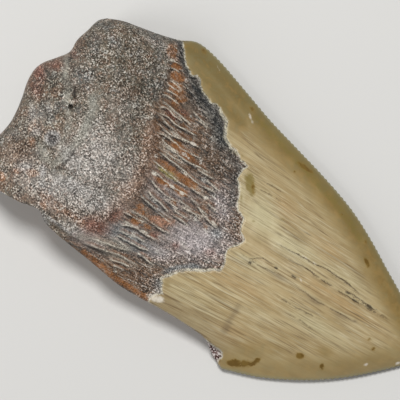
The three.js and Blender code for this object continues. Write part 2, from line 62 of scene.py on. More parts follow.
# Heights and sizes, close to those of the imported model

LINGUAL_ENAMEL = 0.45
LABIAL_ENAMEL = 0.2
ENAMEL_STEP = 0.3  # width of the broken edge of the enamel
CROWN_PROFILE = 2.2
ROOT_PROFILE = (2.5, 0.3)  # power of the share across, and the share of the height that is lost
LABIAL_PROFILE = (3, 2)  # the powers for the crown and the root
EDGE_HEIGHT = 1.15
EDGE_THICKNESS = 0.1
LAND_SINK = 0.16
LABIAL_HOLLOW = {"x": -24, "half_length": 7.5, "depth": 1.7}
LABIAL_TIP = {"start": 16, "end": 50, "rise": 0.9}
LABIAL_ROOT_RISE = 0.9
LABIAL_LUMPS_SHIFT = 40
LABIAL_MARKS_SHIFT = 6
LABIAL_OLIVE_BAND = (1.5, 5.5)

SERRATION_PITCH = 1.0
SERRATION_DEPTH = 0.2
SERRATION_FADE = 5
CUTTING_EDGE_ROUNDING = 0.22

ROOT_ROUNDING = 5
LABIAL_ROUNDING = 4
ROOT_WALL_BULGE = 0.5
BREAK_ROUNDING = 0.4
BREAK_LEAN = 1.3
BREAK_RELIEF = 1.4
WALL_FADE = 3
LEDGE = {"depth": 1.7, "start": -32.8, "end": -14.5, "run_in": 1.4, "run_out": 4.2, "slope": 0.7}

ROOT_END_ON_BREAK_SIDE = {"y": -8, "start": -34, "end": -10}
ROOT_END_ON_WHOLE_SIDE = {"y": 24, "start": -38, "end": -19.5}
LEAST_WIDTH = 0.5  # of the tooth, where the places across it are told
NECK_DROP = 0.35
NECK_LINE_BLUR = (-0.6, 1.6)
NO_NECK = -20  # told as the distance past the neck line where there is no neck
NO_ENAMEL = -5.0  # the same for the enamel's edge
# Rows of height, size and layer of the noise
LUMPS = [(0.8, 5.5, 0.5), (0.5, 2.4, 7.5), (0.22, 1.1, 3.1)]
GRAIN_LUMPS = [(0.09, 0.55, 40.5)]
EDGE_RAGGEDNESS = [(0.14, 0.9, 20.5), (0.12, 0.4, 21.5)]
STROKE_WAVER = [(0.14, 1.5, 60.5)]
NECK_LUMPS = 0.15  # share of the lumps' height that is left on the neck
# Relief of the break, with as many layers of noise from its foot to its top
BREAK_LUMPS = {"size": 4.5, "layers": 4}
BREAK_GRAIN = {"size": 0.9, "layers": 14, "share": 0.25}

# Outline, anticlockwise seen from +Z

BREAK_EDGE = [
    (-45.4, -18.6), (-43.2, -18.7), (-38.5, -18.6), (-34.2, -18.0), (-32.8, -18.4), (-31.9, -19.5),
    (-27.9, -20.6), (-20.1, -21.9), (-12.2, -23.3), (-7.4, -23.4), (-0.3, -23.3), (7.1, -23.8),
    (9.0, -24.3), (11.2, -26.1), (14.6, -27.9),
]
SHORT_CUTTING_EDGE = [
    (14.6, -27.9), (18.3, -26.8), (22.2, -25.5), (27.8, -22.9), (33.2, -19.8), (38.2, -16.2),
    (42.9, -12.1), (45.8, -9.3), (48.1, -6.7), (49.3, -4.8),
]
TIP = [(49.3, -4.8), (49.7, -3.9), (49.3, -2.9)]
WHOLE_CUTTING_EDGE = [
    (49.3, -2.9), (43.6, 1.1), (37.9, 4.6), (34.0, 6.9), (28.1, 10.5), (21.5, 13.9), (13.8, 16.7),
    (5.8, 19.1), (-2.3, 21.5), (-9.8, 24.2), (-17.5, 26.9), (-21.9, 27.9), (-23.5, 27.9), (-24.9, 27.4),
]
ROOT_SIDE = [
    (-24.9, 27.4), (-26.7, 26.5), (-30.8, 25.4), (-35.1, 24.6), (-38.9, 23.9), (-41.8, 22.8),
]
ROOT_BASE = [
    (-41.8, 22.8), (-43.1, 21.6), (-44.0, 18.7), (-44.9, 15.8), (-45.0, 13.1), (-46.3, 11.2),
    (-48.8, 8.1), (-49.5, 6.1), (-49.5, 3.7), (-48.7, -0.6), (-48.3, -5.1), (-48.7, -7.9),
    (-49.5, -11.2), (-48.9, -14.2), (-47.5, -17.0), (-45.4, -18.6),
]
FAR_END_OF_ROOT_SIDE = (-50, 22)
# Where the cutting edge ran before the break
LOST_CUTTING_EDGE = [(-50, -35), (-24, -37), (-15, -36), (0, -32.5), (14.6, -27.9)]

# Height of the lingual face above the labial one, along the middle of the whole tooth
SWELL = [
    (-50, 11.5), (-43, 14.6), (-34, 16.4), (-22, 16.0), (-8, 13.9), (8, 11.6), (22, 9.2), (34, 6.6),
    (42, 4.4), (47, 2.3), (50, 0.5),
]

# The broken edge of the enamel on each face, from the whole cutting edge to the break
LINGUAL_ENAMEL_EDGE = [
    (-26.8, 27.9), (-25.6, 26.2), (-24.7, 25.1), (-23.7, 23.8), (-22.9, 22.8), (-21.8, 22.1),
    (-21.0, 21.5), (-20.0, 21.9), (-18.9, 21.6), (-18.0, 20.4), (-17.3, 19.7), (-15.8, 19.1),
    (-14.6, 18.6), (-13.5, 18.8), (-12.4, 18.5), (-11.8, 17.9), (-10.6, 17.4), (-9.7, 16.7),
    (-9.3, 15.5), (-8.8, 14.7), (-8.5, 13.8), (-7.5, 13.3), (-6.4, 12.7), (-5.5, 12.7),
    (-4.5, 12.2), (-3.3, 11.4), (-2.5, 11.2), (-1.4, 10.9), (-2.0, 9.6), (-2.1, 8.5), (-2.1, 7.6),
    (-1.0, 6.6), (-0.1, 5.0), (0.5, 3.2), (1.3, 2.2), (2.2, 1.8), (3.3, 1.2), (3.3, -0.1),
    (3.8, -1.3), (4.8, -1.9), (5.5, -2.7), (5.0, -3.9), (3.8, -5.1), (3.4, -6.0), (3.6, -7.1),
    (4.3, -8.3), (4.3, -9.3), (4.3, -10.5), (3.2, -10.9), (1.5, -12.1), (-0.3, -13.1),
    (-1.6, -13.7), (-2.9, -14.8), (-4.0, -16.2), (-4.8, -17.2), (-5.4, -17.7), (-4.7, -18.5),
    (-4.0, -19.8), (-3.3, -20.3), (-4.0, -20.7), (-4.8, -21.4), (-5.2, -22.3), (-5.2, -25.2),
]
LABIAL_ENAMEL_EDGE = [
    (-27.5, 30), (-27.5, 26.2), (-25, 21.5), (-22.6, 15), (-21, 8), (-20.3, 1), (-20.6, -6),
    (-21.6, -13), (-23.6, -19), (-25, -24),
]
BEYOND_THE_TIP = [(60, -60), (60, 60)]

# Where the root gives way to the neck, as x against y
NECK_LINE = [
    (-30, -30), (-23, -28), (-18, -25), (-14.9, -22.2), (-10.2, -20.2), (-5.6, -18.4), (-1, -18.7),
    (4, -20.3), (7.5, -22.4), (12.4, -24.2), (16.7, -24.9), (21.8, -26.4), (26.3, -27.5), (30, -28),
]
# The upper rim of the ledge beside the break, as y against x
LEDGE_RIM = [(-33, -18.6), (-30.5, -18.7), (-27.8, -18.8), (-21, -19.1), (-17.9, -18.5), (-14, -18.1)]

# Swells and hollows of the lingual face: name, centre, radii, turn in degrees and height
SWELLS = [
    ("boss of the root", (-28, -3.5), (8, 11), 10, 1.5),
    ("upper lobe", (-39, 18), (5, 4.5), 0, 0.7),
    ("lower lobe", (-44.5, -11), (3.6, 5), 0, 0.8),
    ("hollow before the ridges", (-26.6, 13), (4, 5.5), 15, -1.1),
    ("stained hollow of the lower lobe", (-41, -8), (2.2, 3), -20, -0.7),
    ("worn knob on the break", (-5.2, -22.6), (1.7, 1), 0, 0.5),
    ("worn dip of the neck", (-16.6, 15), (3, 3), 0, -0.4),
    ("nutrient pit", (-38.3, -4.4), (0.9, 0.9), 0, -0.7),
]
# Valleys and crests of the lingual face: name, path, half width and height
CREASES = [
    ("valley of the root",
     [(-45, 13.1), (-41.8, 9), (-39.2, 5.4), (-38, 0.9), (-37.4, -3.5), (-37.4, -8.5)], 2.6, -1.1),
    ("crest beside the valley", [(-46, 10.6), (-43, 8.4), (-41.3, 6)], 1, 0.5),
    ("rim of the boss",
     [(-35.3, 8), (-34.7, 4.6), (-34.2, 1.3), (-34.2, -2.2), (-34.6, -5.2), (-35.6, -9)], 1.1, 0.45),
    ("groove above the foramen", [(-39.8, 7.6), (-39.2, 6.2), (-38.9, 4.6)], 0.3, -0.35),
    ("rim of the pit",
     [(-39.9, -4.3), (-39.7, -3.4), (-38.9, -2.9), (-38.0, -3.2), (-37.5, -4.1), (-37.7, -5.1),
      (-38.5, -5.6), (-39.5, -5.2), (-39.9, -4.3)], 0.4, 0.3),
]
FORAMEN = {"at": (-38.8, 3.3), "radii": (0.252, 0.546), "depth": 1.6}  # radii of its floor and its rim
CHIP_EDGE = [
    (8.6, -24.1), (9.9, -24.3), (11.2, -24.5), (12.4, -24.5), (13.1, -24.8), (13.6, -25.7), (13.3, -26.8),
    (13.4, -27.7), (13.4, -29.1), (9.7, -28.4),
]
CHIP_DEPTH = 1.1
CHIP_RIM = 0.1  # half width of its sharp rim
CHIP_SLOPE = 0.5

# Crests of the neck's ridges
RIDGES = [
    [(-27.8, 21.9), (-25.8, 22.1), (-23.3, 22.1)],
    [(-26.7, 19.9), (-24.7, 20.6), (-23.1, 20.6)],
    [(-24.4, 18.4), (-22.7, 18.0), (-20.5, 17.8)],
    [(-24.7, 17.3), (-22.5, 17.1), (-20.7, 17.3)],
    [(-24.3, 16.1), (-21.7, 16.2), (-19.7, 15.9)],
    [(-24.5, 14.8), (-22.3, 15.1), (-19.7, 14.7)],
    [(-24.0, 13.7), (-21.3, 13.4), (-18.8, 12.9), (-14.7, 12.2)],
    [(-23.7, 11.9), (-22.1, 12.8), (-19.5, 12.3), (-17.0, 12.1)],
    [(-23.5, 11.1), (-21.0, 11.4), (-18.2, 10.9), (-15.0, 11.1)],
    [(-22.0, 9.4), (-18.8, 8.6), (-16.5, 8.8), (-13.4, 9.1)],
    [(-21.6, 7.7), (-18.8, 7.9), (-14.6, 7.2), (-9.3, 7.7)],
    [(-19.4, 9.2), (-15.8, 9.2), (-13.7, 9.2), (-11.1, 9.3)],
    [(-20.1, 6.0), (-15.8, 5.9), (-13.2, 5.5), (-8.9, 5.8), (-6.6, 5.5)],
    [(-19.6, 4.4), (-15.9, 4.1), (-12.3, 3.6), (-8.2, 2.7), (-3.7, 3.4)],
    [(-19.5, 2.5), (-15.4, 1.6), (-12.1, 1.1), (-9.1, 1.0)],
    [(-18.9, 0.7), (-15.5, 0.1), (-13.1, -0.4), (-10.2, -0.4), (-7.5, -0.2)],
    [(-17.8, -1.2), (-14.8, -2.3), (-11.6, -2.6), (-9.6, -2.4)],
    [(-17.3, -3.3), (-14.9, -4.3), (-12.7, -4.7), (-10.3, -5.6)],
    [(-17.8, -5.0), (-15.3, -5.7), (-12.7, -6.1)],
    [(-18.6, -8.8), (-14.7, -8.7), (-10.6, -9.1), (-7.7, -8.9)],
    [(-10.2, -5.4), (-8.3, -5.4), (-5.8, -5.6)],
    [(-6.4, -1.3), (-3.3, -2.6), (-0.2, -3.4)],
    [(-19.5, -9.8), (-16.5, -9.7), (-13.6, -9.4)],
    [(-18.6, -12.6), (-15.7, -11.4), (-12.3, -11.5), (-9.6, -11.4)],
    [(-18.7, -14.8), (-15.4, -14.5), (-12.3, -14.4), (-9.6, -13.8)],
    [(-21.8, -17.7), (-18.2, -17.0), (-15.6, -16.5), (-13.3, -15.6)],
    [(-23.9, -19.4), (-20.8, -19.0), (-17.4, -18.3), (-14.8, -17.9), (-10.4, -17.8)],
    [(-17.0, -19.9), (-14.2, -19.0), (-11.6, -18.9)],
    [(-12.6, -15.5), (-10.0, -15.9), (-8.2, -16.3)],
    [(-10.7, 5.3), (-8.2, 5.1), (-5.9, 5.2)],
    [(-17.3, 15.2), (-14.2, 14.3), (-11.6, 14.2)],
    [(-17.8, 17.7), (-14.8, 16.6), (-11.8, 15.8)],
    [(-9.7, -2.9), (-6.9, -3.0), (-3.9, -2.4)],
]
# Finer crests between them
FINE_RIDGES = [
    [(-28.3, 21.4), (-26.9, 21.5), (-25.7, 21.9), (-24.6, 22.1)],
    [(-29.0, 24.7), (-27.8, 24.7), (-26.3, 24.6), (-25.2, 24.3)],
    [(-21.8, 19.2), (-20.3, 18.7), (-18.6, 18.2), (-17.2, 17.8)],
    [(-20.8, 20.3), (-19.6, 20.0), (-18.4, 19.5)],
    [(-22.4, 10.8), (-21.3, 10.5), (-20.1, 10.0), (-18.8, 9.8), (-17.5, 9.6)],
    [(-17.4, 10.8), (-16.1, 10.9), (-14.7, 11.0), (-13.3, 11.1)],
    [(-20.0, 7.0), (-18.6, 6.6), (-17.3, 6.4), (-15.8, 6.3), (-14.2, 6.1)],
    [(-18.4, 5.1), (-16.9, 5.0), (-15.4, 4.9), (-14.0, 4.8), (-12.7, 4.6)],
    [(-13.3, 3.3), (-12.0, 3.1), (-10.8, 3.1), (-9.3, 3.0), (-7.6, 2.8)],
    [(-10.2, 1.3), (-8.5, 1.1), (-6.8, 1.1), (-5.2, 1.1)],
    [(-8.7, -0.7), (-7.1, -0.9), (-5.8, -1.1)],
    [(-10.8, -1.9), (-9.2, -2.2), (-7.7, -2.3), (-6.3, -2.4)],
    [(-9.2, -2.6), (-7.4, -2.8), (-5.6, -3.1), (-4.0, -3.4)],
    [(-10.9, -4.1), (-9.4, -4.4), (-7.9, -4.5), (-6.5, -4.4)],
    [(-6.9, -1.3), (-5.0, -1.6), (-3.3, -2.1)],
    [(-13.6, -3.3), (-12.0, -3.5), (-10.5, -3.6), (-9.0, -3.7)],
    [(-13.1, -6.5), (-11.6, -6.6), (-10.3, -6.8), (-9.0, -7.0)],
    [(-18.8, -11.5), (-17.2, -11.3), (-15.6, -11.3), (-14.3, -11.0), (-12.8, -11.1), (-11.3, -11.2)],
    [(-18.7, -14.0), (-17.4, -13.5), (-15.8, -13.3), (-14.4, -13.0), (-12.7, -12.9), (-11.2, -12.8)],
    [(-19.0, -15.6), (-17.1, -15.5), (-15.2, -15.6), (-13.5, -15.7)],
    [(-15.6, -20.3), (-14.0, -20.1), (-12.5, -19.9)],
    [(-10.7, -16.0), (-9.2, -16.1), (-7.8, -16.1)],
    [(-8.0, 4.4), (-6.4, 4.0), (-4.8, 3.7), (-3.6, 3.7)],
    [(-7.2, 3.0), (-5.5, 2.8), (-4.1, 2.9)],
    [(-5.2, 0.4), (-3.8, -0.0), (-2.5, -0.2)],
    [(-15.9, 17.2), (-14.3, 16.9), (-12.6, 16.4), (-11.2, 16.1)],
    [(-16.1, 16.3), (-14.4, 15.9), (-12.8, 15.4)],
    [(-14.0, 14.7), (-12.3, 14.3), (-10.9, 13.9)],
    [(-15.8, 14.1), (-13.9, 13.8), (-12.1, 13.5)],
]
RIDGE_HEIGHT = 0.42
RIDGE_HALF_WIDTH = 0.36
RIDGE_POWER = 1.4  # a smaller one makes the crests sharper
RIDGES_START = (-4, 0)  # how far past the neck line they begin and are full
FINE_RIDGE_SHARE = 0.75
SMALL_RIDGE_COUNT = 170
SMALL_RIDGES = {  # the limits that each is drawn from, in this order
    "y": (-21, 24), "past the neck line": (0.5, 19), "length": (1.5, 4.5), "share": (0.15, 0.4),
    "bend": (-0.3, 0.3),
}
# The lines of the grain, at the middle of the tooth, run towards a point this far beyond it
GRAIN_FAN = {"distance": 300, "y": -8}

# Cracks of the enamel, along its grain
CRACKS = [
    [(10.0, 0.2), (11.7, 0.2), (14.4, 0.3), (17.9, 0.5), (20.3, 0.4),
     (22.8, 0.7), (25.7, 0.5), (28.1, 0.4), (30.2, 0.0), (33.4, -0.5)],
    [(13.1, -1.4), (15.9, -1.4), (19.1, -1.2), (22.2, -1.6), (25.1, -1.8),
     (28.5, -1.9), (31.2, -2.0), (34.0, -2.1), (36.6, -2.0), (39.6, -2.2)],
    [(28.5, -1.0), (31.4, -1.2), (34.9, -1.5), (39.3, -1.8)],
]
FAINT_CRACKS = [
    [(8.1, -6.4), (8.8, -5.5), (10.9, -5.5), (12.9, -5.3), (15.4, -5.0)],
    [(5.6, -5.2), (8.1, -5.2), (10.3, -3.9), (11.6, -3.9), (14.0, -4.2)],
    [(16.2, -3.6), (17.3, -3.9), (19.0, -3.9), (22.1, -4.0)],
    [(17.7, -5.3), (20.9, -5.6), (24.2, -5.9),
     (27.5, -5.8), (31.0, -5.7), (33.1, -5.7), (35.5, -5.5)],
    [(15.5, -9.0), (17.5, -9.0), (19.2, -9.2), (23.0, -9.1), (26.4, -8.9)],
    [(19.3, -11.0), (22.6, -11.0), (27.3, -11.4)],
    [(21.0, -9.1), (23.6, -9.0), (27.3, -8.8)],
    [(1.3, 7.9), (5.1, 8.2), (8.4, 8.0)],
    [(2.3, 9.9), (5.6, 9.9), (8.0, 9.9)],
]
FAINT_CRACK_SHARE = 0.65
CRACK_DEPTH = 0.06
CRACK_HALF_WIDTH = 0.2
STROKE_REACH = 1.5  # how far from a ridge or a crack its distance is still told
STROKE_POINTS_PER_KNOT = 4
STROKE_TAPER = 4  # rise of the strength from each end, per share of the length
STROKE_END = 0.05  # strength at the ends
WEAK_STROKE_DISTANCE = 0.5  # added to the distance of a stroke without strength
THIN_STROKE = 0.65  # long marks with a smaller half width than this run out at their ends
THIN_STROKE_END = 0.3
MARK_POWER = 2.5  # a greater one makes the edges of the marks sharper

# Stains and worn places, with painted highlights and painted shade among them, by colour: name, centre,
# radii, turn in degrees and strength
SPOTS = {
    "orange": [
        ("neck, at the shoulder", (-26.9, 23.6), (1.5, 1.2), -58, 1.1),
        ("second block of the neck", (-24.5, 21.4), (1.1, 0.8), 10, 1.1),
        ("third block", (-23.2, 19.6), (1.6, 1.1), 0, 1.0),
        ("fourth block", (-22.1, 17.3), (1.8, 1.2), 2, 1.0),
        ("fifth block", (-20.8, 16.2), (1.6, 0.9), -2, 0.9),
        ("below the blocks", (-20.8, 14.6), (1.8, 1.0), -6, 0.5),
        ("middle, first band", (-16.1, 7.3), (2.0, 0.8), -3, 0.9),
        ("middle, second band", (-13.8, 6.6), (2.5, 0.8), -3, 0.9),
        ("middle, third band", (-15.7, 2.6), (2.9, 0.8), -2, 0.8),
        ("middle, fourth band", (-10.9, 2.0), (3.1, 0.9), -2, 1.0),
        ("middle, left", (-15.1, -0.6), (2.0, 0.7), 0, 0.8),
        ("middle, fifth band", (-11.0, -0.4), (2.0, 0.8), -5, 1.0),
        ("lower middle", (-11.1, -3.0), (1.0, 0.6), -5, 0.6),
        ("lower left", (-16.1, -7.5), (1.4, 1.0), -15, 0.6),
        ("beside the lowest ridges", (-15.7, -10.2), (1.4, 0.6), 15, 0.9),
        ("beside the lowest ridges, right", (-13.4, -10.0), (1.2, 0.6), 0, 0.7),
        ("lower right", (-3.0, -4.0), (0.8, 0.6), -15, 0.5),
        ("base of the root", (-44.3, -16.0), (1.4, 1.0), -40, 0.9),
        ("beside the pit", (-42.0, -6.9), (1.4, 1.0), -30, 0.6),
        ("lower lobe", (-38.9, -12.2), (1.8, 1.0), 20, 0.65),
        ("lower lobe, left", (-41.6, -13.3), (1.8, 0.8), 40, 0.55),
        ("low on the root", (-34.9, -13.9), (1.2, 0.8), -40, 0.5),
        ("rim of the break, root", (-33.5, -16.7), (1.2, 0.8), -30, 0.6),
    ],
    "salmon": [
        ("worn patch of the low neck", (-11.3, -7.6), (2.9, 1.0), 22, 0.9),
    ],
    "red": [
        ("upper lobe, edge", (-48.3, 6.3), (2.4, 1.2), -45, 0.9),
        ("upper lobe, below", (-46.9, 3.0), (2.2, 1.4), -30, 0.5),
        ("upper lobe, inner", (-45.8, 9.1), (1.8, 1.2), 20, 0.5),
        ("beside the upper lobe", (-43.6, 13.0), (1.2, 0.8), -10, 0.35),
        ("root beside the lowest ridges", (-22.3, -15.2), (2.9, 1.7), 10, 0.75),
        ("neck line, low", (-20.0, -11.5), (1.8, 1.2), 70, 0.6),
        ("low neck", (-6.3, -10.5), (0.8, 0.8), 30, 0.7),
        ("low neck, right", (0.4, -8.2), (1.2, 0.8), 30, 0.5),
        ("middle of the neck", (-20.3, 12.0), (1.6, 0.8), -6, 0.6),
        ("second red streak", (-18.4, 13.8), (1.2, 0.6), -6, 0.6),
        ("ridges, low", (-11.1, -10.8), (1.0, 0.6), 30, 0.7),
    ],
    "rust": [
        ("lower lobe", (-43.5, -10.5), (4.0, 4.0), 0, 0.5),
        ("low neck, beside the break", (-11.5, -19.4), (4.0, 1.6), 0, 0.4),
        ("root, low edge", (-31.5, -15.8), (6.0, 1.8), 5, 0.45),
    ],
    # Umber: brown stains that also serve as painted shade in the hollows and the valley, between the ridges
    # and on the root's sides that turn away from the light
    "umber": [
        ("side of the upper lobe", (-46.0, 8.5), (4.2, 7.0), -25, 0.8),
        ("side of the root, top left", (-44.0, 16.5), (3.2, 5.5), 5, 0.6),
        ("side of the lower lobe", (-48.6, -9.5), (2.6, 6.5), 0, 0.5),
        ("hollow before the ridges", (-27.2, 14.2), (3.7, 2.0), 20, 0.75),
        ("hollow, lower", (-27.7, 9.7), (2.9, 1.4), 10, 0.3),
        ("lower lobe", (-44.5, -8.5), (3.5, 4.0), 0, 0.3),
        ("valley, at the base", (-47.8, -1.5), (2.4, 4.0), 0, 0.25),
        ("left of the root", (-43.4, -9.4), (3.3, 1.4), 10, 0.45),
        ("right of the dark band", (-7.6, 8.9), (3.7, 3.3), -40, 0.55),
        ("between the lowest ridges", (-15.7, -13.0), (2.5, 0.8), 5, 0.35),
        ("low middle", (-17.0, -6.7), (2.9, 1.4), 90, 0.4),
        ("low neck, beside the break", (-10.3, -20.3), (2.9, 1.4), 0, 0.15),
    ],
    # Dark: painted shade in the foramen, the groove above it and the pit, and beside the valley, the arc and
    # the crest of the root
    "dark": [
        ("foramen", (-38.9, 3.4), (0.5, 0.5), 30, 1.0),
        ("groove above the foramen", (-39.6, 6.1), (1.2, 0.3), -53, 1.0),
        ("pit", (-38.4, -4.6), (0.6, 0.3), -40, 0.35),
        ("below the pit", (-37.7, -6.0), (1.2, 0.3), 15, 0.5),
        ("below the valley", (-34.3, -8.4), (0.8, 0.4), 30, 0.6),
        ("below the arc", (-33.3, -4.7), (0.8, 0.6), -10, 0.4),
        ("left of the crest", (-43.3, 0.6), (1.0, 0.4), -50, 0.4),
    ],
    "blue": [
        ("pit", (-38.7, -4.2), (1.5, 1.5), 0, 0.9),
        ("low neck, left", (-15.6, -14.1), (5.7, 2.3), 5, 0.9),
        ("neck, left", (-14.4, -5.1), (2.5, 1.2), -10, 0.5),
        ("granular patch", (-0.3, -4.1), (1.6, 1.4), -10, 0.7),
        ("right of the middle", (-7.6, 3.7), (1.8, 1.2), 0, 0.5),
        ("low neck, at the enamel", (-5.1, -19.2), (1.8, 1.4), -40, 0.6),
        ("top of the root", (-41.2, 17.9), (1.2, 1.0), -50, 0.4),
        ("above the foramen", (-39.9, 9.5), (3.5, 3.5), 0, 0.3),
        ("top of the root, right", (-38.4, 19.3), (1.6, 0.8), -55, 0.5),
    ],
    "plain": [
        ("plain patch of the neck", (-17.8, 15.1), (1.8, 1.4), -10, 0.9),
    ],
    # Pink: lilac-grey stains that also serve as painted light, making the boss and the low parts of the root
    # and the neck brighter
    "pink": [
        ("granular low neck", (-3.5, -7.6), (7.0, 4.1), 20, 0.9),
        ("low neck, left", (-8.5, -13.3), (4.1, 1.8), 15, 0.7),
        ("right neck", (-2.3, 1.4), (4.1, 2.3), -50, 0.6),
        ("boss", (-28.9, -3.4), (8.2, 6.1), -60, 0.85),
        ("root, right of the boss", (-22.0, -2.9), (5.3, 2.5), -70, 0.6),
        ("root, low", (-28.5, -11.4), (8.2, 3.3), 10, 0.9),
        ("lower lobe", (-38.6, -13.0), (5.0, 3.6), -20, 0.6),
        ("root, left of the valley", (-43.2, -2.2), (2.2, 4.0), -10, 0.3),
        ("root, beside the low neck", (-23.5, -10.6), (5.5, 3.0), 35, 0.7),
        ("middle of the root", (-30.0, 7.8), (5.0, 4.0), 0, 0.25),
        ("root, low edge", (-32.0, -14.6), (6.5, 2.6), 8, 0.65),
        ("neck, middle", (-12.8, -1.7), (6.2, 4.6), 0, 0.45),
        ("neck, beside the enamel", (-2.3, 1.4), (2.6, 6.0), 0, 0.3),
        ("neck, low", (-15.5, -13.4), (5.5, 3.2), 0, 0.3),
        ("low neck, beside the ledge", (-23.5, -18.0), (5.5, 2.0), 0, 0.6),
        ("top of the root, right", (-30.3, 23.7), (3.3, 1.0), 5, 0.5),
    ],
    # Pale: on the lobes and the boss these are painted highlights and glints; elsewhere they are pale marks,
    # such as the scratches
    "pale": [
        ("lower lobe, lilac", (-37.1, -10.9), (1.6, 0.8), -65, 1.0),
        ("lower lobe, low", (-40.9, -12.0), (1.5, 0.9), 30, 0.8),
        ("lower lobe, right", (-35.6, -13.2), (1.6, 0.8), -30, 0.8),
        ("boss, low", (-30.5, -10.4), (4.1, 1.4), 12, 0.7),
        ("boss, lowest", (-24.2, -11.5), (2.5, 1.2), 20, 0.5),
        ("boss, left", (-30.2, -1.0), (1.2, 0.6), 10, 0.6),
        ("boss", (-33.7, -5.7), (3.3, 1.8), -25, 0.55),
        ("middle of the pit", (-38.0, -4.8), (0.5, 0.4), 50, 0.8),
        ("left lobe", (-45.1, -1.6), (1.8, 0.7), -70, 0.6),
        ("left lobe, spot", (-42.5, 0.6), (0.8, 0.4), -60, 0.8),
        ("left lobe, low", (-42.3, -4.7), (1.2, 0.8), 50, 0.6),
        ("upper root", (-29.7, 17.0), (1.6, 0.5), 30, 0.3),
        ("scratch of the root", (-32.7, 10.6), (1.0, 0.2), 18, 0.7),
        ("second scratch of the root", (-37.7, 8.2), (0.7, 0.2), -30, 0.7),
        ("third scratch of the root", (-33.5, 18.6), (0.3, 0.2), 30, 0.9),
        ("notch of the break", (-32.4, -18.6), (0.7, 0.4), -40, 1.0),
    ],
    "ochre": [
        ("yellow crest of the neck", (-14.9, 1.6), (2.8, 0.8), -5, 0.9),
        ("yellow crest, right", (-9.2, 1.9), (1.4, 0.6), -5, 0.6),
        ("patch by the point", (0.6, 8.0), (2.7, 1.0), -52, 1.0),
        ("under the enamel edge, right neck", (0.4, 4.6), (1.6, 0.4), -55, 0.5),
        ("above the point", (-5.1, 12.0), (1.8, 0.5), 10, 0.5),
        ("below the patch", (5.3, 1.7), (0.8, 0.5), 0, 0.4),
        ("spot of the upper crown", (9.9, 4.9), (1.0, 0.6), 0, 0.35),
    ],
    "olive": [
        ("smudge, low", (31.3, -14.1), (1.8, 1.6), 30, 0.5),
        ("under the enamel edge", (-4.0, -18.1), (1.0, 0.8), -40, 0.5),
        ("lower crown", (18.5, -21.0), (5.3, 2.5), 30, 0.5),
    ],
    "cream": [
        ("left of the crown", (5.9, 3.7), (4.9, 3.7), -30, 1.0),
        ("middle of the crown", (13.9, 1.2), (7.0, 2.3), -2, 0.9),
        ("under the point", (0.4, 5.3), (3.7, 0.8), -58, 0.8),
        ("towards the tip", (26.7, 1.5), (7.0, 1.6), -3, 0.5),
        ("low crown", (1.3, -17.9), (5.3, 1.6), 6, 0.45),
        ("low right", (26.5, -10.4), (6.1, 1.8), 0, 0.75),
        ("under the corner", (8.5, -5.9), (4.1, 1.0), 0, 0.8),
    ],
    "tan": [
        ("band along the cracks", (27.3, -3.6), (9.0, 1.2), -3, 0.6),
        ("by the upper crack", (9.2, 7.3), (3.3, 1.8), -20, 0.6),
        ("crown, middle", (21.5, 4.4), (5.3, 1.8), -10, 0.4),
        ("low left of the crown", (9.1, -11.0), (6.1, 1.8), 2, 0.5),
        ("crown, low", (13.4, -20.4), (5.3, 2.0), 10, 0.4),
    ],
    "brown": [
        ("oval stain", (27.1, -17.4), (1.0, 0.7), 20, 1.0),
        ("smear at the corner", (16.3, -25.5), (2.0, 0.9), 25, 1.0),
        ("smear at the corner, right", (18.2, -24.6), (1.7, 0.9), 35, 0.8),
        ("right half of the patch by the point", (1.5, 7.7), (2.0, 0.5), -54, 0.5),
        ("small spot by the low edge", (32.2, -17.1), (0.8, 0.5), -70, 0.9),
        ("dot beside it", (30.3, -18.9), (0.3, 0.2), 30, 0.5),
        ("streak by the upper edge", (8.8, 16.7), (2.0, 0.5), -6, 0.9),
        ("dot beside the streak", (7.3, 14.8), (0.4, 0.3), -50, 0.8),
        ("dot by the upper edge", (20.1, 12.2), (0.4, 0.3), 10, 0.9),
        ("streak by the upper edge, high", (-6.6, 21.6), (1.0, 0.5), -20, 0.6),
        ("shoulder stain", (-21.3, 27.0), (1.0, 0.5), -5, 0.6),
        ("stain near the upper edge", (27.3, 9.7), (0.6, 0.4), -50, 0.7),
        ("streak near the upper edge", (29.5, 6.1), (1.4, 0.45), -32, 0.9),
        ("blotch near the upper edge", (30.3, 4.3), (1.0, 0.8), -60, 0.35),
        ("faint spot", (37.7, -7.3), (0.6, 0.5), 30, 0.5),
        ("faint spot, low", (39.5, -8.7), (0.6, 0.5), 60, 0.7),
        ("dot", (32.1, -13.0), (0.2, 0.2), 30, 0.5),
    ],
    "white": [
        ("dot by the low edge", (39.9, -12.2), (0.5, 0.3), 40, 0.8),
        ("dot at the low edge", (45.5, -8.7), (0.6, 0.3), 50, 0.9),
        ("scale of the upper crack", (20.3, 0.5), (0.6, 0.3), -10, 0.6),
        ("scale of the lower crack", (19.4, -3.8), (0.5, 0.25), -20, 0.5),
        ("worn knob of the break", (-4.3, -21.8), (2.0, 0.8), 14, 0.7),
        ("chip of the neck", (-13.5, 9.3), (0.8, 0.3), 5, 0.9),
        ("chip of the neck, low", (-10.6, -0.6), (0.6, 0.3), -6, 1.0),
        ("second chip of the neck, low", (-12.9, -0.4), (0.7, 0.3), -8, 1.0),
        ("third chip of the neck, low", (-5.8, 1.0), (0.7, 0.4), 20, 0.8),
        ("chip of the neck, left", (-17.3, 0.0), (0.6, 0.3), 0, 0.8),
        ("chip of the low neck", (-1.8, -2.6), (1.0, 0.2), -14, 0.9),
    ],
    "black": [
        ("knot of the crack", (17.8, -3.9), (0.8, 0.4), -4, 0.7),
        ("second knot", (13.7, -4.2), (0.5, 0.3), 0, 0.7),
        ("third knot", (8.6, -6.0), (0.5, 0.3), 45, 0.8),
        ("fourth knot", (29.1, -1.3), (0.7, 0.3), 10, 0.8),
        ("fifth knot", (31.0, -1.9), (0.6, 0.3), 0, 1.0),
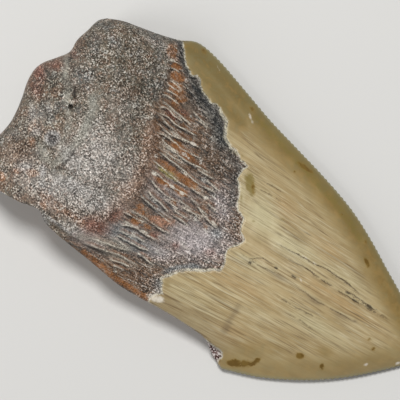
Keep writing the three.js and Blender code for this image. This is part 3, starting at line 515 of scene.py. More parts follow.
        ("sixth knot", (34.5, -1.6), (0.9, 0.4), -8, 0.9),
        ("seventh knot", (28.4, 0.4), (0.6, 0.2), -15, 0.6),
        ("eighth knot", (18.7, -9.0), (0.8, 0.3), -10, 0.5),
    ],
    "grey": [
        ("corner of the enamel, low", (4.0, -9.5), (1.2, 0.8), 30, 0.5),
        ("smear of the crack", (24.1, -6.1), (1.6, 0.6), 2, 0.8),
        ("second smear of the crack", (30.0, -6.1), (1.8, 0.5), 2, 0.7),
        ("third smear of the crack", (33.2, -5.6), (0.6, 0.3), 20, 0.9),
        ("smear, upper crack", (15.4, -5.5), (2.0, 0.6), 5, 0.6),
        ("transverse shade, low", (11.2, -20.2), (1.7, 0.8), 90, 0.75),
    ],
}
# The same for long marks: name, path, half width and strength
STROKES = {
    "ochre": [
        ("gold beside the whole cutting edge",
         [(-4.6, 20.6), (5.3, 17.6), (13.1, 15.2), (20.6, 12.4), (26.0, 9.6)], 1.1, 0.55),
    ],
    "fringe": [
        ("beside the dark band", [(-11.8, 17.9), (-9.7, 16.6), (-8.4, 14.0), (-5.5, 12.7)], 0.9, 1.0),
        ("lower edge of the neck", [(-4.8, -17.2), (-2.0, -14.2), (1.5, -12.1), (4.3, -10.5)], 0.9, 0.8),
    ],
    # Olive: olive enamel beside the cutting edges and at the shoulder, whose darkness is partly painted shade
    # where the crown slopes away from the light
    "olive": [
        ("along the whole cutting edge",
         [(-24.8, 26.5), (-17.5, 25.0), (-8.9, 22.4), (-0.0, 19.2), (8.4, 17.0),
          (17.1, 14.2), (25.0, 10.7), (31.3, 7.2), (37.7, 3.1), (44.1, -1.0)],
         3.1, 0.95),
        ("the shoulder", [(-21.9, 24.8), (-17.8, 22.5), (-13.0, 20.0), (-7.8, 18.3)], 2.9, 0.8),
        ("along the short cutting edge",
         [(13.8, -26.5), (19.6, -25.1), (28.8, -20.5), (37.3, -14.6), (44.9, -7.4), (47.2, -3.2)],
         2.9, 0.45),
    ],
    "charcoal": [
        ("at the shoulder",
         [(-26.5, 26.2), (-24.9, 24.5), (-24.1, 23.1), (-22.5, 22.1), (-21.0, 21.1), (-19.3, 20.2)],
         1.0, 0.95),
        ("dark band",
         [(-18.7, 19.6), (-16.6, 18.4), (-14.7, 17.6), (-12.7, 16.6), (-11.0, 15.3),
          (-9.6, 13.7), (-8.4, 12.8)],
         2.3, 1.0),
        ("before the point", [(-7.6, 12.3), (-5.9, 11.3), (-4.2, 10.4), (-2.9, 9.8)], 1.4, 0.7),
        ("under the point", [(-3.0, 8.0), (-1.7, 5.3), (-0.5, 2.8)], 1.2, 0.7),
    ],
    "blue": [
        ("line along the low enamel",
         [(-5.9, -16.6), (-4.2, -14.6), (-1.7, -12.7), (1.1, -11.4)],
         0.6, 0.8),
    ],
    "rust": [
        ("beside the neck line",
         [(-22.4, 7.5), (-20.0, 1.8), (-19.4, -3.0), (-20.0, -8.0), (-21.9, -12.6), (-23.6, -15.4)],
         1.9, 0.75),
        ("rim of the upper lobe",
         [(-44.6, 16.0), (-45.2, 13.0), (-46.6, 10.4), (-48.6, 7.6), (-49.0, 4.0)], 1.2, 0.6),
        ("rim of the lower lobe", [(-49.0, -11.0), (-48.4, -13.6), (-46.8, -16.6), (-44.4, -17.8)], 1.4, 0.5),
        ("rim beside the ledge", [(-39.0, -17.8), (-34.6, -16.6), (-30.2, -16.8)], 1.1, 0.5),
    ],
    # Umber: brown along the neck line and along the rims of the root, where it also serves as painted shade
    "umber": [
        ("neck line",
         [(-24.2, 13.5), (-22.9, 9.6), (-21.4, 5.7), (-19.8, 1.9), (-18.7, -2.2), (-18.4, -6.8),
          (-19.8, -10.9)],
         1.4, 0.15),
        ("rim of the root, top", [(-26.5, 25.9), (-31.0, 24.6), (-38.9, 23.0), (-41.6, 21.8)], 1.2, 0.4),
        ("rim of the lower lobe, dark",
         [(-49.2, -8.5), (-49.2, -12.0), (-47.4, -16.2), (-44.4, -18.2)], 1.1, 0.45),
    ],
    "orange": [
        ("above the rim", [(-34.8, -14.8), (-31.7, -15.4), (-28.4, -15.6), (-24.9, -16.0)], 1.0, 0.5),
        ("rim of the break, neck",
         [(-21.9, -21.1), (-18.3, -21.6), (-14.7, -22.2), (-11.2, -22.5), (-7.8, -22.7), (-5.3, -22.9)],
         0.8, 0.65),
    ],
    # Sage: grey bands of the folds, which on the crest of the upper lobe and the arc of the boss also serve
    # as painted highlights
    "sage": [
        ("crest of the upper lobe", [(-45.3, 12.1), (-43.8, 9.8), (-42.9, 7.7)], 0.7, 1.0),
        ("crest, lower", [(-42.6, 7.7), (-41.2, 6.1), (-40.2, 3.9)], 0.9, 0.7),
        ("arc of the boss",
         [(-35.6, 7.0), (-34.7, 4.7), (-34.3, 2.3), (-34.0, 0.1), (-34.0, -2.3)],
         1.1, 1.0),
        ("arc of the boss, low",
         [(-34.0, -2.3), (-34.6, -4.2), (-35.1, -6.5), (-36.2, -8.3), (-38.2, -8.2), (-40.2, -6.6)],
         0.8, 0.9),
        ("beside the pit", [(-36.7, -4.6), (-36.8, -2.7), (-37.5, -0.3), (-38.6, 1.9)], 0.7, 0.7),
        ("fold of the low neck", [(-24.2, -18.6), (-18.3, -16.7), (-14.5, -15.9)], 0.8, 0.9),
        ("second fold of the low neck", [(-18.6, -18.9), (-14.7, -18.4), (-11.2, -18.3)], 0.7, 0.7),
    ],
    "pale": [
        ("rim of the pit",
         [(-38.0, -5.2), (-39.1, -5.3), (-39.9, -4.6), (-39.9, -3.5), (-39.0, -2.9), (-38.0, -3.1),
          (-37.5, -4.0)],
         0.4, 1.0),
        ("edge of the ledge", [(-32.6, -18.4), (-31.9, -19.2), (-30.9, -19.8)], 0.5, 1.0),
        ("rim of the ledge",
         [(-32.6, -18.3), (-30.8, -18.4), (-29.1, -18.6), (-27.3, -18.8), (-25.7, -18.8)],
         0.3, 0.9),
        ("rim of the ledge, neck",
         [(-24.1, -19.0), (-22.6, -19.1), (-21.0, -19.1), (-19.2, -18.6), (-17.3, -18.5), (-15.5, -18.3)],
         0.3, 0.7),
    ],
    # Dark: painted shade beside the arc of the boss
    "dark": [
        ("line along the arc", [(-33.4, -2.9), (-33.7, -4.9), (-34.0, -6.8), (-34.5, -8.5)], 0.2, 0.6),
    ],
    "grey": [
        ("beside the break", [(-3.5, -22.4), (2.0, -22.3), (7.5, -22.6), (11.5, -23.6)], 3.2, 0.4),
        ("transverse shade", [(10.9, -14.0), (11.0, -17.0), (10.7, -19.8), (10.7, -22.4)], 0.6, 0.55),
    ],
    "brown": [
        ("tail of the smear at the corner", [(18.4, -24.6), (19.7, -23.4), (20.3, -21.9)], 0.6, 0.8),
    ],
    "white": [
        ("scratch by the upper edge", [(-6.9, 20.7), (-6.0, 19.8), (-4.9, 19.0)], 0.3, 0.5),
        ("scratch at the shoulder", [(-17.6, 25.9), (-16.8, 25.4), (-16.1, 24.9)], 0.2, 0.35),
        ("upper crack", [(16.8, 0.6), (18.5, 0.7), (20.0, 0.7)], 0.15, 0.4),
    ],
}

# Sizes of the mesh

ROOT_TOP_STEP = 0.27
NECK_STEP = 0.2
CROWN_STEP = 0.33
NECK_STARTS = (-30, -26)
NECK_ENDS = (4, 8)
UNDERSIDE_STEP = 0.9
BREAK_STEP = 0.3
CUTTING_EDGE_STEP = 0.2
ROOT_STEP = 0.35
WALL_LEVELS = 14
TOP_INSET = {"root": 0.75, "crown": 0.35, "change": (-26, -23)}
UNDERSIDE_INSET = 2.2
END_MARGIN = 1.5  # of the inset, before the first column of a sheet and after its last
CURVE_POINTS = 24  # of each stretch of a curve
NORMAL_STEP = 0.002  # share of a curve over which its normal is measured
SHARP_EDGE = math.radians(50)
BAKED_AREAS = {  # the corner and the size of each part's area on the baked image
    "wall": np.array([(0.02, 0.33), (0.96, 0.09)]),
    "lingual": np.array([(0.015, 0.44), (0.96, 0.96)]),
    "labial": np.array([(0.015, 0.015), (0.52, 0.52)]),
}

# Camera, light and floor

CAMERA_DISTANCE = 800
VIEW_WIDTH = 82  # of the plane that the camera is focused on
VIEW_CENTRE = (-6.7, 0.0, 7.0)
VIEW_ROLL = math.radians(30)
SENSOR_WIDTH = 36
CLIP_METRES = (0.01, 10)
SKY_STRENGTH = 0.2
LIGHTS = [  # name, direction, distance and size in metres, and power
    ("key", (-0.2, 0.3, 1.0), 0.9, 0.25, 6.4),
    ("fill", (-0.7, -0.6, 0.6), 1.0, 0.6, 3.4),
]
SQUARE = [(-1, -1), (1, -1), (1, 1), (-1, 1)]
FLOOR_HALF = 1500
FLOOR_SINK = 0.05
FLOOR_ROUGHNESS = 0.7
FLOOR_COLOUR = "cfcecb"

# Colours, as sRGB codes

RAMPS = {  # stops of a value and the colour there
    "bone": [(0.34, "64605a"), (0.5, "695f50"), (0.64, "6f5844")],
    # pale marks of the bone, partly painted highlights and glints
    "worn bone and painted highlights": [(0.0, "76736f"), (1.0, "d3d0cc")],
    "neck": [(0.36, "3a332c"), (0.46, "5e4835"), (0.54, "6f5239"), (0.64, "7d746a")],
    "enamel": [(0.32, "a38e65"), (0.45, "ad986f"), (0.56, "b5a27a"), (0.7, "bbab84")],
    "olive": [(0.35, "775f2c"), (0.5, "846c38"), (0.65, "927b48")],
    "dentine": [(0.34, "4a3524"), (0.46, "76583b"), (0.56, "8e6a49"), (0.68, "aa8f72")],
    "chip": [(0.2, "351a17"), (0.5, "7d5550"), (0.8, "e2d8d4")],
}
SHADES = {  # colour and greatest share
    # the whitest specks: partly pale grains and partly painted glints
    "white speck and painted glint": ("d4d1cb", 1.0),
    "warm grain": ("84604a", 0.4),
    "cool grain": ("747b72", 0.4),
    # painted shade, laid over the bone where the dark marks are
    "painted shade of a hollow of the root": ("1c1814", 0.95),
    # the flanks of the big ridges: painted light on the side that faces the light, and painted shadow on the
    # other
    "lit brown flank": ("7d5231", 0.5),
    "shaded flank": ("211c18", 0.85),
    "crest": ("d8d0bf", 1.0),
    "pale hair": ("a9a399", 1.0),
    # painted shade, laid over the neck where the dark marks are
    "painted shade of a hollow of the neck": ("2a241e", 0.7),
    "outer enamel": ("ab9668", 0.6),
    # painted shade that makes the olive enamel darker towards the root
    "olive darkened by painted shade": ("6d5f33", 0.8),
    "warm olive": ("93733a", 0.45),
    "cool olive": ("77714c", 0.35),
    "serrations": ("7a6e45", 0.6),
    # the cutting edges' pale rim: partly wear and partly a painted highlight where the serrations catch the
    # light
    "worn rim and painted highlight": ("8f8b6d", 0.65),
    "core of a brown stain": ("5f430f", 0.75),
    "pale side of a crack": ("cfc49c", 0.4),
    "brown rim of a crack": ("6d5736", 0.35),
    "crack": ("33271a", 0.85),
    "dark speck": ("2b221a", 0.6),
    "orange dentine": ("96592a", 0.6),
    "frost": ("c9c5ba", 0.7),
    "broken enamel": ("d9d3bd", 1.0),
    "white chip": ("e2dacb", 0.85),
}
PALE_SHARE = 0.75
OLIVE_SHARE = 0.95
# The stains of each layer, the lowest first: name, colour and greatest share. Pink and sage are partly
# painted light, and umber partly painted shade
STAINS = {
    "under the bone's grains": [
        ("pink", "aaa39c", 0.9), ("umber", "453d31", 0.9), ("blue", "6a7176", 0.7),
    ],
    "bone": [
        ("sage", "969489", 0.75), ("rust", "8d6a54", 0.6), ("red", "7f4b39", 0.9),
        ("orange", "8d6242", 0.7), ("salmon", "9a6c52", 0.9),
    ],
    "under the neck's ridges": [
        ("pink", "b0a8a8", 0.9), ("plain", "6e5f52", 0.9), ("umber", "4c4034", 0.8),
        ("blue", "7d8486", 0.85),
    ],
    "neck": [
        ("sage", "8d877b", 0.7), ("rust", "7a5237", 0.6), ("red", "7a4634", 0.9),
        ("ochre", "8f8343", 0.7), ("orange", "8c5a2e", 0.9), ("salmon", "9c725a", 0.9),
        ("charcoal", "25292a", 0.95),
    ],
    "under the enamel's lines": [("cream", "c2b892", 0.85), ("tan", "b18d5c", 0.7)],
    "olive enamel": [("ochre", "7d6d37", 0.85)],
    "enamel": [("grey", "776750", 0.75), ("brown", "84692a", 0.9), ("black", "2b241a", 0.85)],
}
SOFT_MARKS = [  # the marks without a frayed edge, the painted light and shade among them
    "blue", "charcoal", "cream", "dark", "fringe", "grey", "olive", "pale", "pink", "red", "rust",
    "sage", "tan", "umber",
]
ENAMEL_LINES = [  # frequency across and along the grain, width, strength and colour
    (1.15, 0.03, 0.022, 0.55, "4f3a20"),
    (1.9, 0.045, 0.026, 0.5, "5c4528"),
    (3.0, 0.07, 0.035, 0.4, "745f3d"),
    (5.5, 0.12, 0.05, 0.4, "7a6442"),
    (1.7, 0.06, 0.03, 0.3, "dcd5b6"),
    (4.2, 0.12, 0.05, 0.35, "d3c8a4"),
]
LINES_UPWARDS = 0.1  # their frequency from face to face
# Frequency of the patches that have lines, across the grain as a share of the lines' own
LINE_PATCHES = {"along": 0.1, "share_across": 0.5, "upwards": 0.3}
NOISES = {  # frequency per millimetre, detail, roughness and distortion
    "patches of the speckle": (0.45, 1.0),
    "fine speckle": (3.0, 1.0, 0.6, 0.3),
    "middle speckle": (1.1, 2.0, 0.6, 0.8),
    "broad speckle": (0.4, 2.0),
    "bone": (0.22, 3.0, 0.6),
    "grains of the bone": (1.7, 2.0, 0.6),
    "blotches of the base": (0.6, 2.0, 0.6, 0.5),
    "ragged crests": (1.6, 2.0, 0.6),
    "patches of hairs": (0.8, 2.0),
    "ragged neck line": (0.6, 2.0),
    "patches of the enamel": (0.25, 4.0, 0.65),
    "mottled olive": (0.5, 3.0, 0.6, 0.5),
    "mottled brown stains": (0.7, 3.0),
    "ragged enamel": (2.4, 2.0),
    "ragged cracks": (2.2, 2.0, 0.6),
    "specks by the cracks": (3.4, 1.0),
    "reach of the frost": (0.35, 2.0),
    "flecks of the broken edge": (1.8, 2.0, 0.6),
    "frayed stains": (1.0, 3.0, 0.65),
    "orange of the break": (0.3, 2.0),
    "roughness": (1.4, 2.0),
    "streaks of the neck": ((0.3, 2.4, 1.0), 3.0, 0.6),
    "worn crests": ((0.7, 1.6, 1.0), 2.0, 0.6),
    "hairs of the neck": ((0.5, 4.0, 1.0), 2.0),
    "hairs of the broken edge": ((0.8, 4.0, 1.0), 2.0),
    "bands of the enamel": ((0.05, 0.42, 0.2), 3.0, 0.6),
    "gaps of the cracks": ((0.6, 1.0, 1.0), 2.0),
    "relief of the enamel": ((0.12, 2.4, 0.1), 3.0),
    "streaks of the break": ((0.25, 0.6, 1.1), 3.0, 0.6),
}
# Where these begin and where they are full, in millimetres; the darkening of the olive and of the base along
# the tooth is painted shade
ALONG_THE_TOOTH = {"blotches": (-32.0, -44.0), "painted shade on the base": (-40.0, -48.0), "painted shade on the olive": (8.0, -22.0)}
ACROSS_THE_TOOTH = {"side of the whole edge": (-5.0, 5.0), "side of the short edge": (5.0, -15.0)}
FROM_CUTTING_EDGE = {"inner enamel": (2.5, 7.5), "serrations": (1.7, 0.5)}
PAST_NECK_LINE = (-0.8, 1.2)
PAST_ENAMEL = {"enamel": (-0.1, 0.06), "granular neck": (-8.0, -2.5)}
FROM_LINE = {"crest": (0.4, 0.25), "crack": (0.5, 0.36), "specks": (0.45, 0.15)}
# Bands of colour beside a ridge or a crack: the distance of their middle from it, and half width
BANDS = {
    # the two flank bands are painted light and painted shadow
    "lit brown flank": (0.5, 0.35), "shaded flank": (0.38, 0.24), "crest": (0.0, 0.13),
    "pale side": (0.3, 0.16), "brown rim": (0.0, 0.3), "crack": (0.0, 0.08),
}
# How far these waver, in millimetres
RAGGED = {"crests": 0.35, "cracks": 0.3, "enamel": 0.2, "neck line": 3.0, "broken edge": 0.35, "rim": 0.6}
BROKEN_EDGE = {"middle": -0.14, "half_width": 0.17, "wider_on_fringe": 0.25, "shift_on_fringe": 0.2}
# The cutting edges' pale rim, partly wear and partly painted highlight
WORN_AND_LIT_RIM = {"start": 0.1, "width": 0.45, "wider_on_short_edge": 0.4}
FROST = {"start": -0.1, "least_reach": -1.0, "more_reach": 3.4}
FRAYED = {"start": (0.02, 0.35), "amount": 1.3, "edge": (0.12, 0.75)}
# How strong the grains of each size and the neck's streaks are in the speckle
SPECKLE = {"fine": 16.0, "middle": 6.0, "broad": 2.5, "streaks": 5.0}
# How many stops it makes each part darker and paler
SPECKLE_STOPS = {"bone": 0.5, "neck": 0.52, "break": 0.4}
# Stops of the blotches, and of the painted shade that darkens the base
BASE_STOPS = {"blotches": 2.6, "darker": 0.1}
# Relief in millimetres that the shader adds
BONE_RELIEF = 0.03
ENAMEL_RELIEF = 0.05
ROUGHNESS = {"bone": 0.55, "enamel": 0.4, "unevenness": 0.3}
SPECULAR = 0.4


def smoothstep(x, low, high):
    t = np.clip((x - low) / (high - low), 0, 1)
    return t * t * (3 - 2 * t)


def mix(a, b, share):
    return a + (b - a) * share


def bell(distance, half_width, power=2):
    """1 where the distance is 0, falling towards 0 past the half width"""
    return np.exp(-(distance / half_width) ** power)


def stretch(t, start, end, start_slope, end_slope):
    """A smooth way from start to end with given slopes, at shares t of the way"""
    leaving = (1 + 2 * t) * (1 - t) ** 2 * start + t * (1 - t) ** 2 * start_slope
    return leaving + t * t * (3 - 2 * t) * end + t * t * (t - 1) * end_slope


def function_through(knots):
    """A smooth function of one variable through the knots (x, y), x rising"""
    xs, ys = np.array(knots, float).T
    last = len(xs) - 1
    before = np.maximum(np.arange(last + 1) - 1, 0)
    after = np.minimum(np.arange(last + 1) + 1, last)
    slopes = (ys[after] - ys[before]) / (xs[after] - xs[before])

    def value(x):
        at = np.clip(x, xs[0], xs[-1])
        i = np.clip(np.searchsorted(xs, at, side="right") - 1, 0, last - 1)
        width = xs[i + 1] - xs[i]
        t = (at - xs[i]) / width
        return stretch(t, ys[i], ys[i + 1], width * slopes[i], width * slopes[i + 1])

    return value


def catmull_rom(p0, p1, p2, p3):
    """The points of a centripetal stretch from p1 up to p2"""
    a, b, c = (math.sqrt(np.linalg.norm(end - start)) for start, end in ((p0, p1), (p1, p2), (p2, p3)))
    start_slope = ((p1 - p0) / a - (p2 - p0) / (a + b) + (p2 - p1) / b) * b
    end_slope = ((p2 - p1) / b - (p3 - p1) / (b + c) + (p3 - p2) / c) * b
    return stretch(np.arange(CURVE_POINTS)[:, None] / CURVE_POINTS, p1, p2, start_slope, end_slope)


class Curve:
    """A smooth curve in plan, read at shares of its length"""

    def __init__(self, *parts):
        points = []
        for part in parts:
            knots = np.array(part, float)
            knots = np.vstack([2 * knots[0] - knots[1], knots, 2 * knots[-1] - knots[-2]])
            points += [catmull_rom(*knots[i:i + 4]) for i in range(len(knots) - 3)]
        self.points = np.vstack(points + [np.array(parts[-1][-1:], float)])
        steps = np.linalg.norm(np.diff(self.points, axis=0), axis=1)
        self.lengths = np.concatenate([[0], np.cumsum(steps)])
        self.length = self.lengths[-1]

    def at(self, share):
        along = np.asarray(share) * self.length
        return np.stack([np.interp(along, self.lengths, self.points[:, axis]) for axis in (0, 1)], axis=-1)

    def inward(self, share):
        """The normal on the left of the curve"""
        tangent = self.at(np.minimum(share + NORMAL_STEP, 1)) - self.at(np.maximum(share - NORMAL_STEP, 0))
        tangent /= np.linalg.norm(tangent, axis=-1, keepdims=True)
        return np.stack([-tangent[..., 1], tangent[..., 0]], axis=-1)


random = np.random.RandomState(SEED)
HASH_SIZE = 256
HASH = random.permutation(HASH_SIZE)
SLOPES = random.normal(size=(HASH_SIZE, 3))
SLOPES /= np.linalg.norm(SLOPES, axis=1, keepdims=True)
NOISE_GAIN = 1.5


def noise(x, y, z):
    """Smooth noise of three coordinates, about -1 to 1"""
    x, y, z = np.broadcast_arrays(x, y, z)
    whole = [np.floor(c).astype(int) for c in (x, y, z)]
    part = [c - w for c, w in zip((x, y, z), whole)]
    ease = [t * t * t * (t * (6 * t - 15) + 10) for t in part]
    total = 0
    for corner in np.ndindex(2, 2, 2):
        key = 0
        for axis in range(3):
            key = HASH[(key + whole[axis] + corner[axis]) % HASH_SIZE]
        weight = 1
        reach = 0
        for axis in range(3):
            weight = weight * (ease[axis] if corner[axis] else 1 - ease[axis])
            reach = reach + SLOPES[key, axis] * (part[axis] - corner[axis])
        total = total + weight * reach
    return NOISE_GAIN * total


def lumps(x, y, sizes):
    """The sum of noises, from rows of height, size and layer"""
    return sum(height * noise(x / size, y / size, layer) for height, size, layer in sizes)


def ellipse_radius(x, y, centre, radii, turn):
    """0 at the centre of an ellipse that is turned by so many degrees, and 1 on its edge"""
    angle = math.radians(turn)
    dx, dy = x - centre[0], y - centre[1]
    along = dx * math.cos(angle) + dy * math.sin(angle)
    across = dy * math.cos(angle) - dx * math.sin(angle)
    return np.hypot(along / radii[0], across / radii[1])


def nearest_on(path, x, y):
    """The distance of points from a path, their side (1 on its left) and the share along it"""
    path = np.asarray(path, float)
    steps = np.diff(path, axis=0)
    lengths = np.concatenate([[0], np.cumsum(np.linalg.norm(steps, axis=1))])
    nearest = np.full(np.shape(x), np.inf)
    side = np.ones(np.shape(x))
    share = np.zeros(np.shape(x))
    for i, ((ax, ay), (dx, dy)) in enumerate(zip(path, steps)):
        along = np.clip(((x - ax) * dx + (y - ay) * dy) / (dx * dx + dy * dy), 0, 1)
        distance = np.hypot(x - ax - along * dx, y - ay - along * dy)
        closer = distance < nearest
        nearest = np.where(closer, distance, nearest)
        side = np.where(closer, np.sign(dx * (y - ay) - dy * (x - ax)), side)
        share = np.where(closer, mix(lengths[i], lengths[i + 1], along) / lengths[-1], share)
    return nearest, side, share


def distance_to(path, x, y):
    return nearest_on(path, x, y)[0]


def is_inside(polygon, x, y):
    inside = np.zeros(np.shape(x), bool)
    for (ax, ay), (bx, by) in zip(polygon, polygon[1:] + polygon[:1]):
        if ay == by:
            continue
        crosses = ((ay > y) != (by > y)) & (x < ax + (y - ay) / (by - ay) * (bx - ax))
        inside ^= crosses
    return inside


break_curve = Curve(BREAK_EDGE)
short_edge_curve = Curve(SHORT_CUTTING_EDGE)
tip_curve = Curve(TIP)
whole_edge_curve = Curve(WHOLE_CUTTING_EDGE)
root_side_curve = Curve(ROOT_SIDE)
root_base_curve = Curve(ROOT_BASE)
lower_side = Curve(BREAK_EDGE, SHORT_CUTTING_EDGE)
upper_side = Curve(WHOLE_CUTTING_EDGE, ROOT_SIDE)
tooth_length = (lower_side.length + upper_side.length) / 2

upper_edge_at = function_through([*WHOLE_CUTTING_EDGE, *ROOT_SIDE[1:], FAR_END_OF_ROOT_SIDE][::-1])
lower_edge_at = function_through([*LOST_CUTTING_EDGE, *SHORT_CUTTING_EDGE[1:]])
swell_at = function_through(SWELL)
neck_line_at = function_through(NECK_LINE)
ledge_rim_at = function_through(LEDGE_RIM)

OUTLINE_SHARES = np.linspace(0, 1, 90)  # of a curve, where distances to it are measured
STROKE_SHARES = np.linspace(0, 1, 16)
break_path = break_curve.at(OUTLINE_SHARES)
root_path = np.vstack([root_side_curve.at(OUTLINE_SHARES), root_base_curve.at(OUTLINE_SHARES[1:])])
cutting_paths = [curve.at(OUTLINE_SHARES) for curve in (short_edge_curve, whole_edge_curve)]
MARK_NAMES = sorted({*SPOTS, *STROKES})


def off_cutting_edges(x, y):
    return np.minimum(*(distance_to(path, x, y) for path in cutting_paths))


def share_across(x, y):
    """Where points lie across the whole tooth: -1 and 1 at its cutting edges"""
    upper, lower = upper_edge_at(x), lower_edge_at(x)
    return np.clip((2 * y - upper - lower) / np.maximum(LEAST_WIDTH, upper - lower), -1, 1)


def across_grain(x, y):
    """A coordinate that stays the same along a line of the grain, which fans out towards the root"""
    return (y - GRAIN_FAN["y"]) * (1 + x / GRAIN_FAN["distance"])


def grain_slope(x, y):
    return -(y - GRAIN_FAN["y"]) / (GRAIN_FAN["distance"] + x)


def root_share(x, y):
    """1 on the root, where the sides are thick and rounded, and 0 on the crown"""
    low, high = ROOT_END_ON_BREAK_SIDE, ROOT_END_ON_WHOLE_SIDE
    side = smoothstep(y, low["y"], high["y"])
    return 1 - smoothstep(x, mix(low["start"], high["start"], side), mix(low["end"], high["end"], side))


def past_neck_line(x, y):
    return x - neck_line_at(y)


def ledge_drop(x, y):
    start, end = LEDGE["start"], LEDGE["end"]
    reach = smoothstep(x, start, start + LEDGE["run_in"]) * (1 - smoothstep(x, end - LEDGE["run_out"], end))
    return LEDGE["depth"] * reach * smoothstep(ledge_rim_at(x) - y, 0, LEDGE["slope"])


def rounded_edge(distance, radius):
    """How far a rounded edge has fallen, at a distance inside the outline"""
    inside = np.maximum(0, radius - distance)
    return radius - np.sqrt(np.maximum(0, radius * radius - inside * inside))


def past_chip(x, y):
    """The distance of points from the edge of the chip, negative inside it"""
    distance = distance_to([*CHIP_EDGE, CHIP_EDGE[0]], x, y)
    return np.where(is_inside(CHIP_EDGE, x, y), -distance, distance)


def past_enamel_edge(x, y, edge):
    """How far points are on the enamel's side of its broken edge"""
    distance = distance_to(edge, x, y)
    past = np.where(is_inside([*edge, *BEYOND_THE_TIP], x, y), distance, -distance)
    return past + lumps(x, y, EDGE_RAGGEDNESS)


def small_ridges():
    """Short paths along the grain of the neck, between the big ridges"""
    chance = np.random.RandomState(SEED + 1)
    made = []
    for _ in range(SMALL_RIDGE_COUNT):
        y, past, length, share, bend = (chance.uniform(*limits) for limits in SMALL_RIDGES.values())
        x = neck_line_at(y) + past
        end_y = y + length * grain_slope(x, y)
        made.append((share, [(x, y), (x + length / 2, (y + end_y) / 2 + bend), (x + length, end_y)]))
    return made


def strokes_near(strokes, x, y):
    """For the nearest of some strokes (strength, path): its strength there, its distance and its side"""
    y = y + lumps(x, y, STROKE_WAVER)
    nearest = np.full(np.shape(x), STROKE_REACH)
    distances = np.full(np.shape(x), STROKE_REACH)
    sides = np.zeros(np.shape(x))
    strength = np.zeros(np.shape(x))
    for full, points in strokes:
        path = Curve(points).at(np.linspace(0, 1, STROKE_POINTS_PER_KNOT * len(points)))
        low, high = path.min(0) - STROKE_REACH, path.max(0) + STROKE_REACH
        near = np.nonzero((x > low[0]) & (x < high[0]) & (y > low[1]) & (y < high[1]))[0]
        distance, side, share = nearest_on(path, x[near], y[near])
        taper = np.minimum(1, STROKE_TAPER * np.minimum(share, 1 - share) + STROKE_END)
        weighted = distance + WEAK_STROKE_DISTANCE * (1 - full * taper)
        closer = weighted < nearest[near]
        kept = near[closer]
        nearest[kept] = weighted[closer]
        distances[kept] = distance[closer]
        sides[kept] = side[closer]
        strength[kept] = (full * taper)[closer]
    return strength, distances, sides


def stroke_facts(name, strength, near, side):
    """What the material needs to know about the ridges or the cracks"""
    return {name: strength, f"{name}_near": near, f"{name}_side": side, f"{name}_off": near * side}


def marks_at(x, y):
    """How strongly each colour of mark, among them painted highlights and painted shade, marks each point"""
    shares = {name: np.zeros_like(x) for name in MARK_NAMES}
    for name, spots in SPOTS.items():
        for _, centre, radii, turn, strength in spots:
            share = strength * bell(ellipse_radius(x, y, centre, radii, turn), 1, MARK_POWER)
            shares[name] = np.maximum(shares[name], share)
    for name, strokes in STROKES.items():
        for _, path, half_width, strength in strokes:
            distance, _, along = nearest_on(Curve(path).at(STROKE_SHARES), x, y)
            share = strength * bell(distance, half_width, MARK_POWER)
            if half_width < THIN_STROKE:
                share = share * np.minimum(1, THIN_STROKE_END + STROKE_TAPER * np.minimum(along, 1 - along))
            shares[name] = np.maximum(shares[name], share)
    return shares


def swells_and_creases(x, y):
    height = 0
    for _, centre, radii, turn, rise in SWELLS:
        height = height + rise * bell(ellipse_radius(x, y, centre, radii, turn), 1)
    for _, path, half_width, rise in CREASES:
        height = height + rise * bell(distance_to(path, x, y), half_width)
    return height


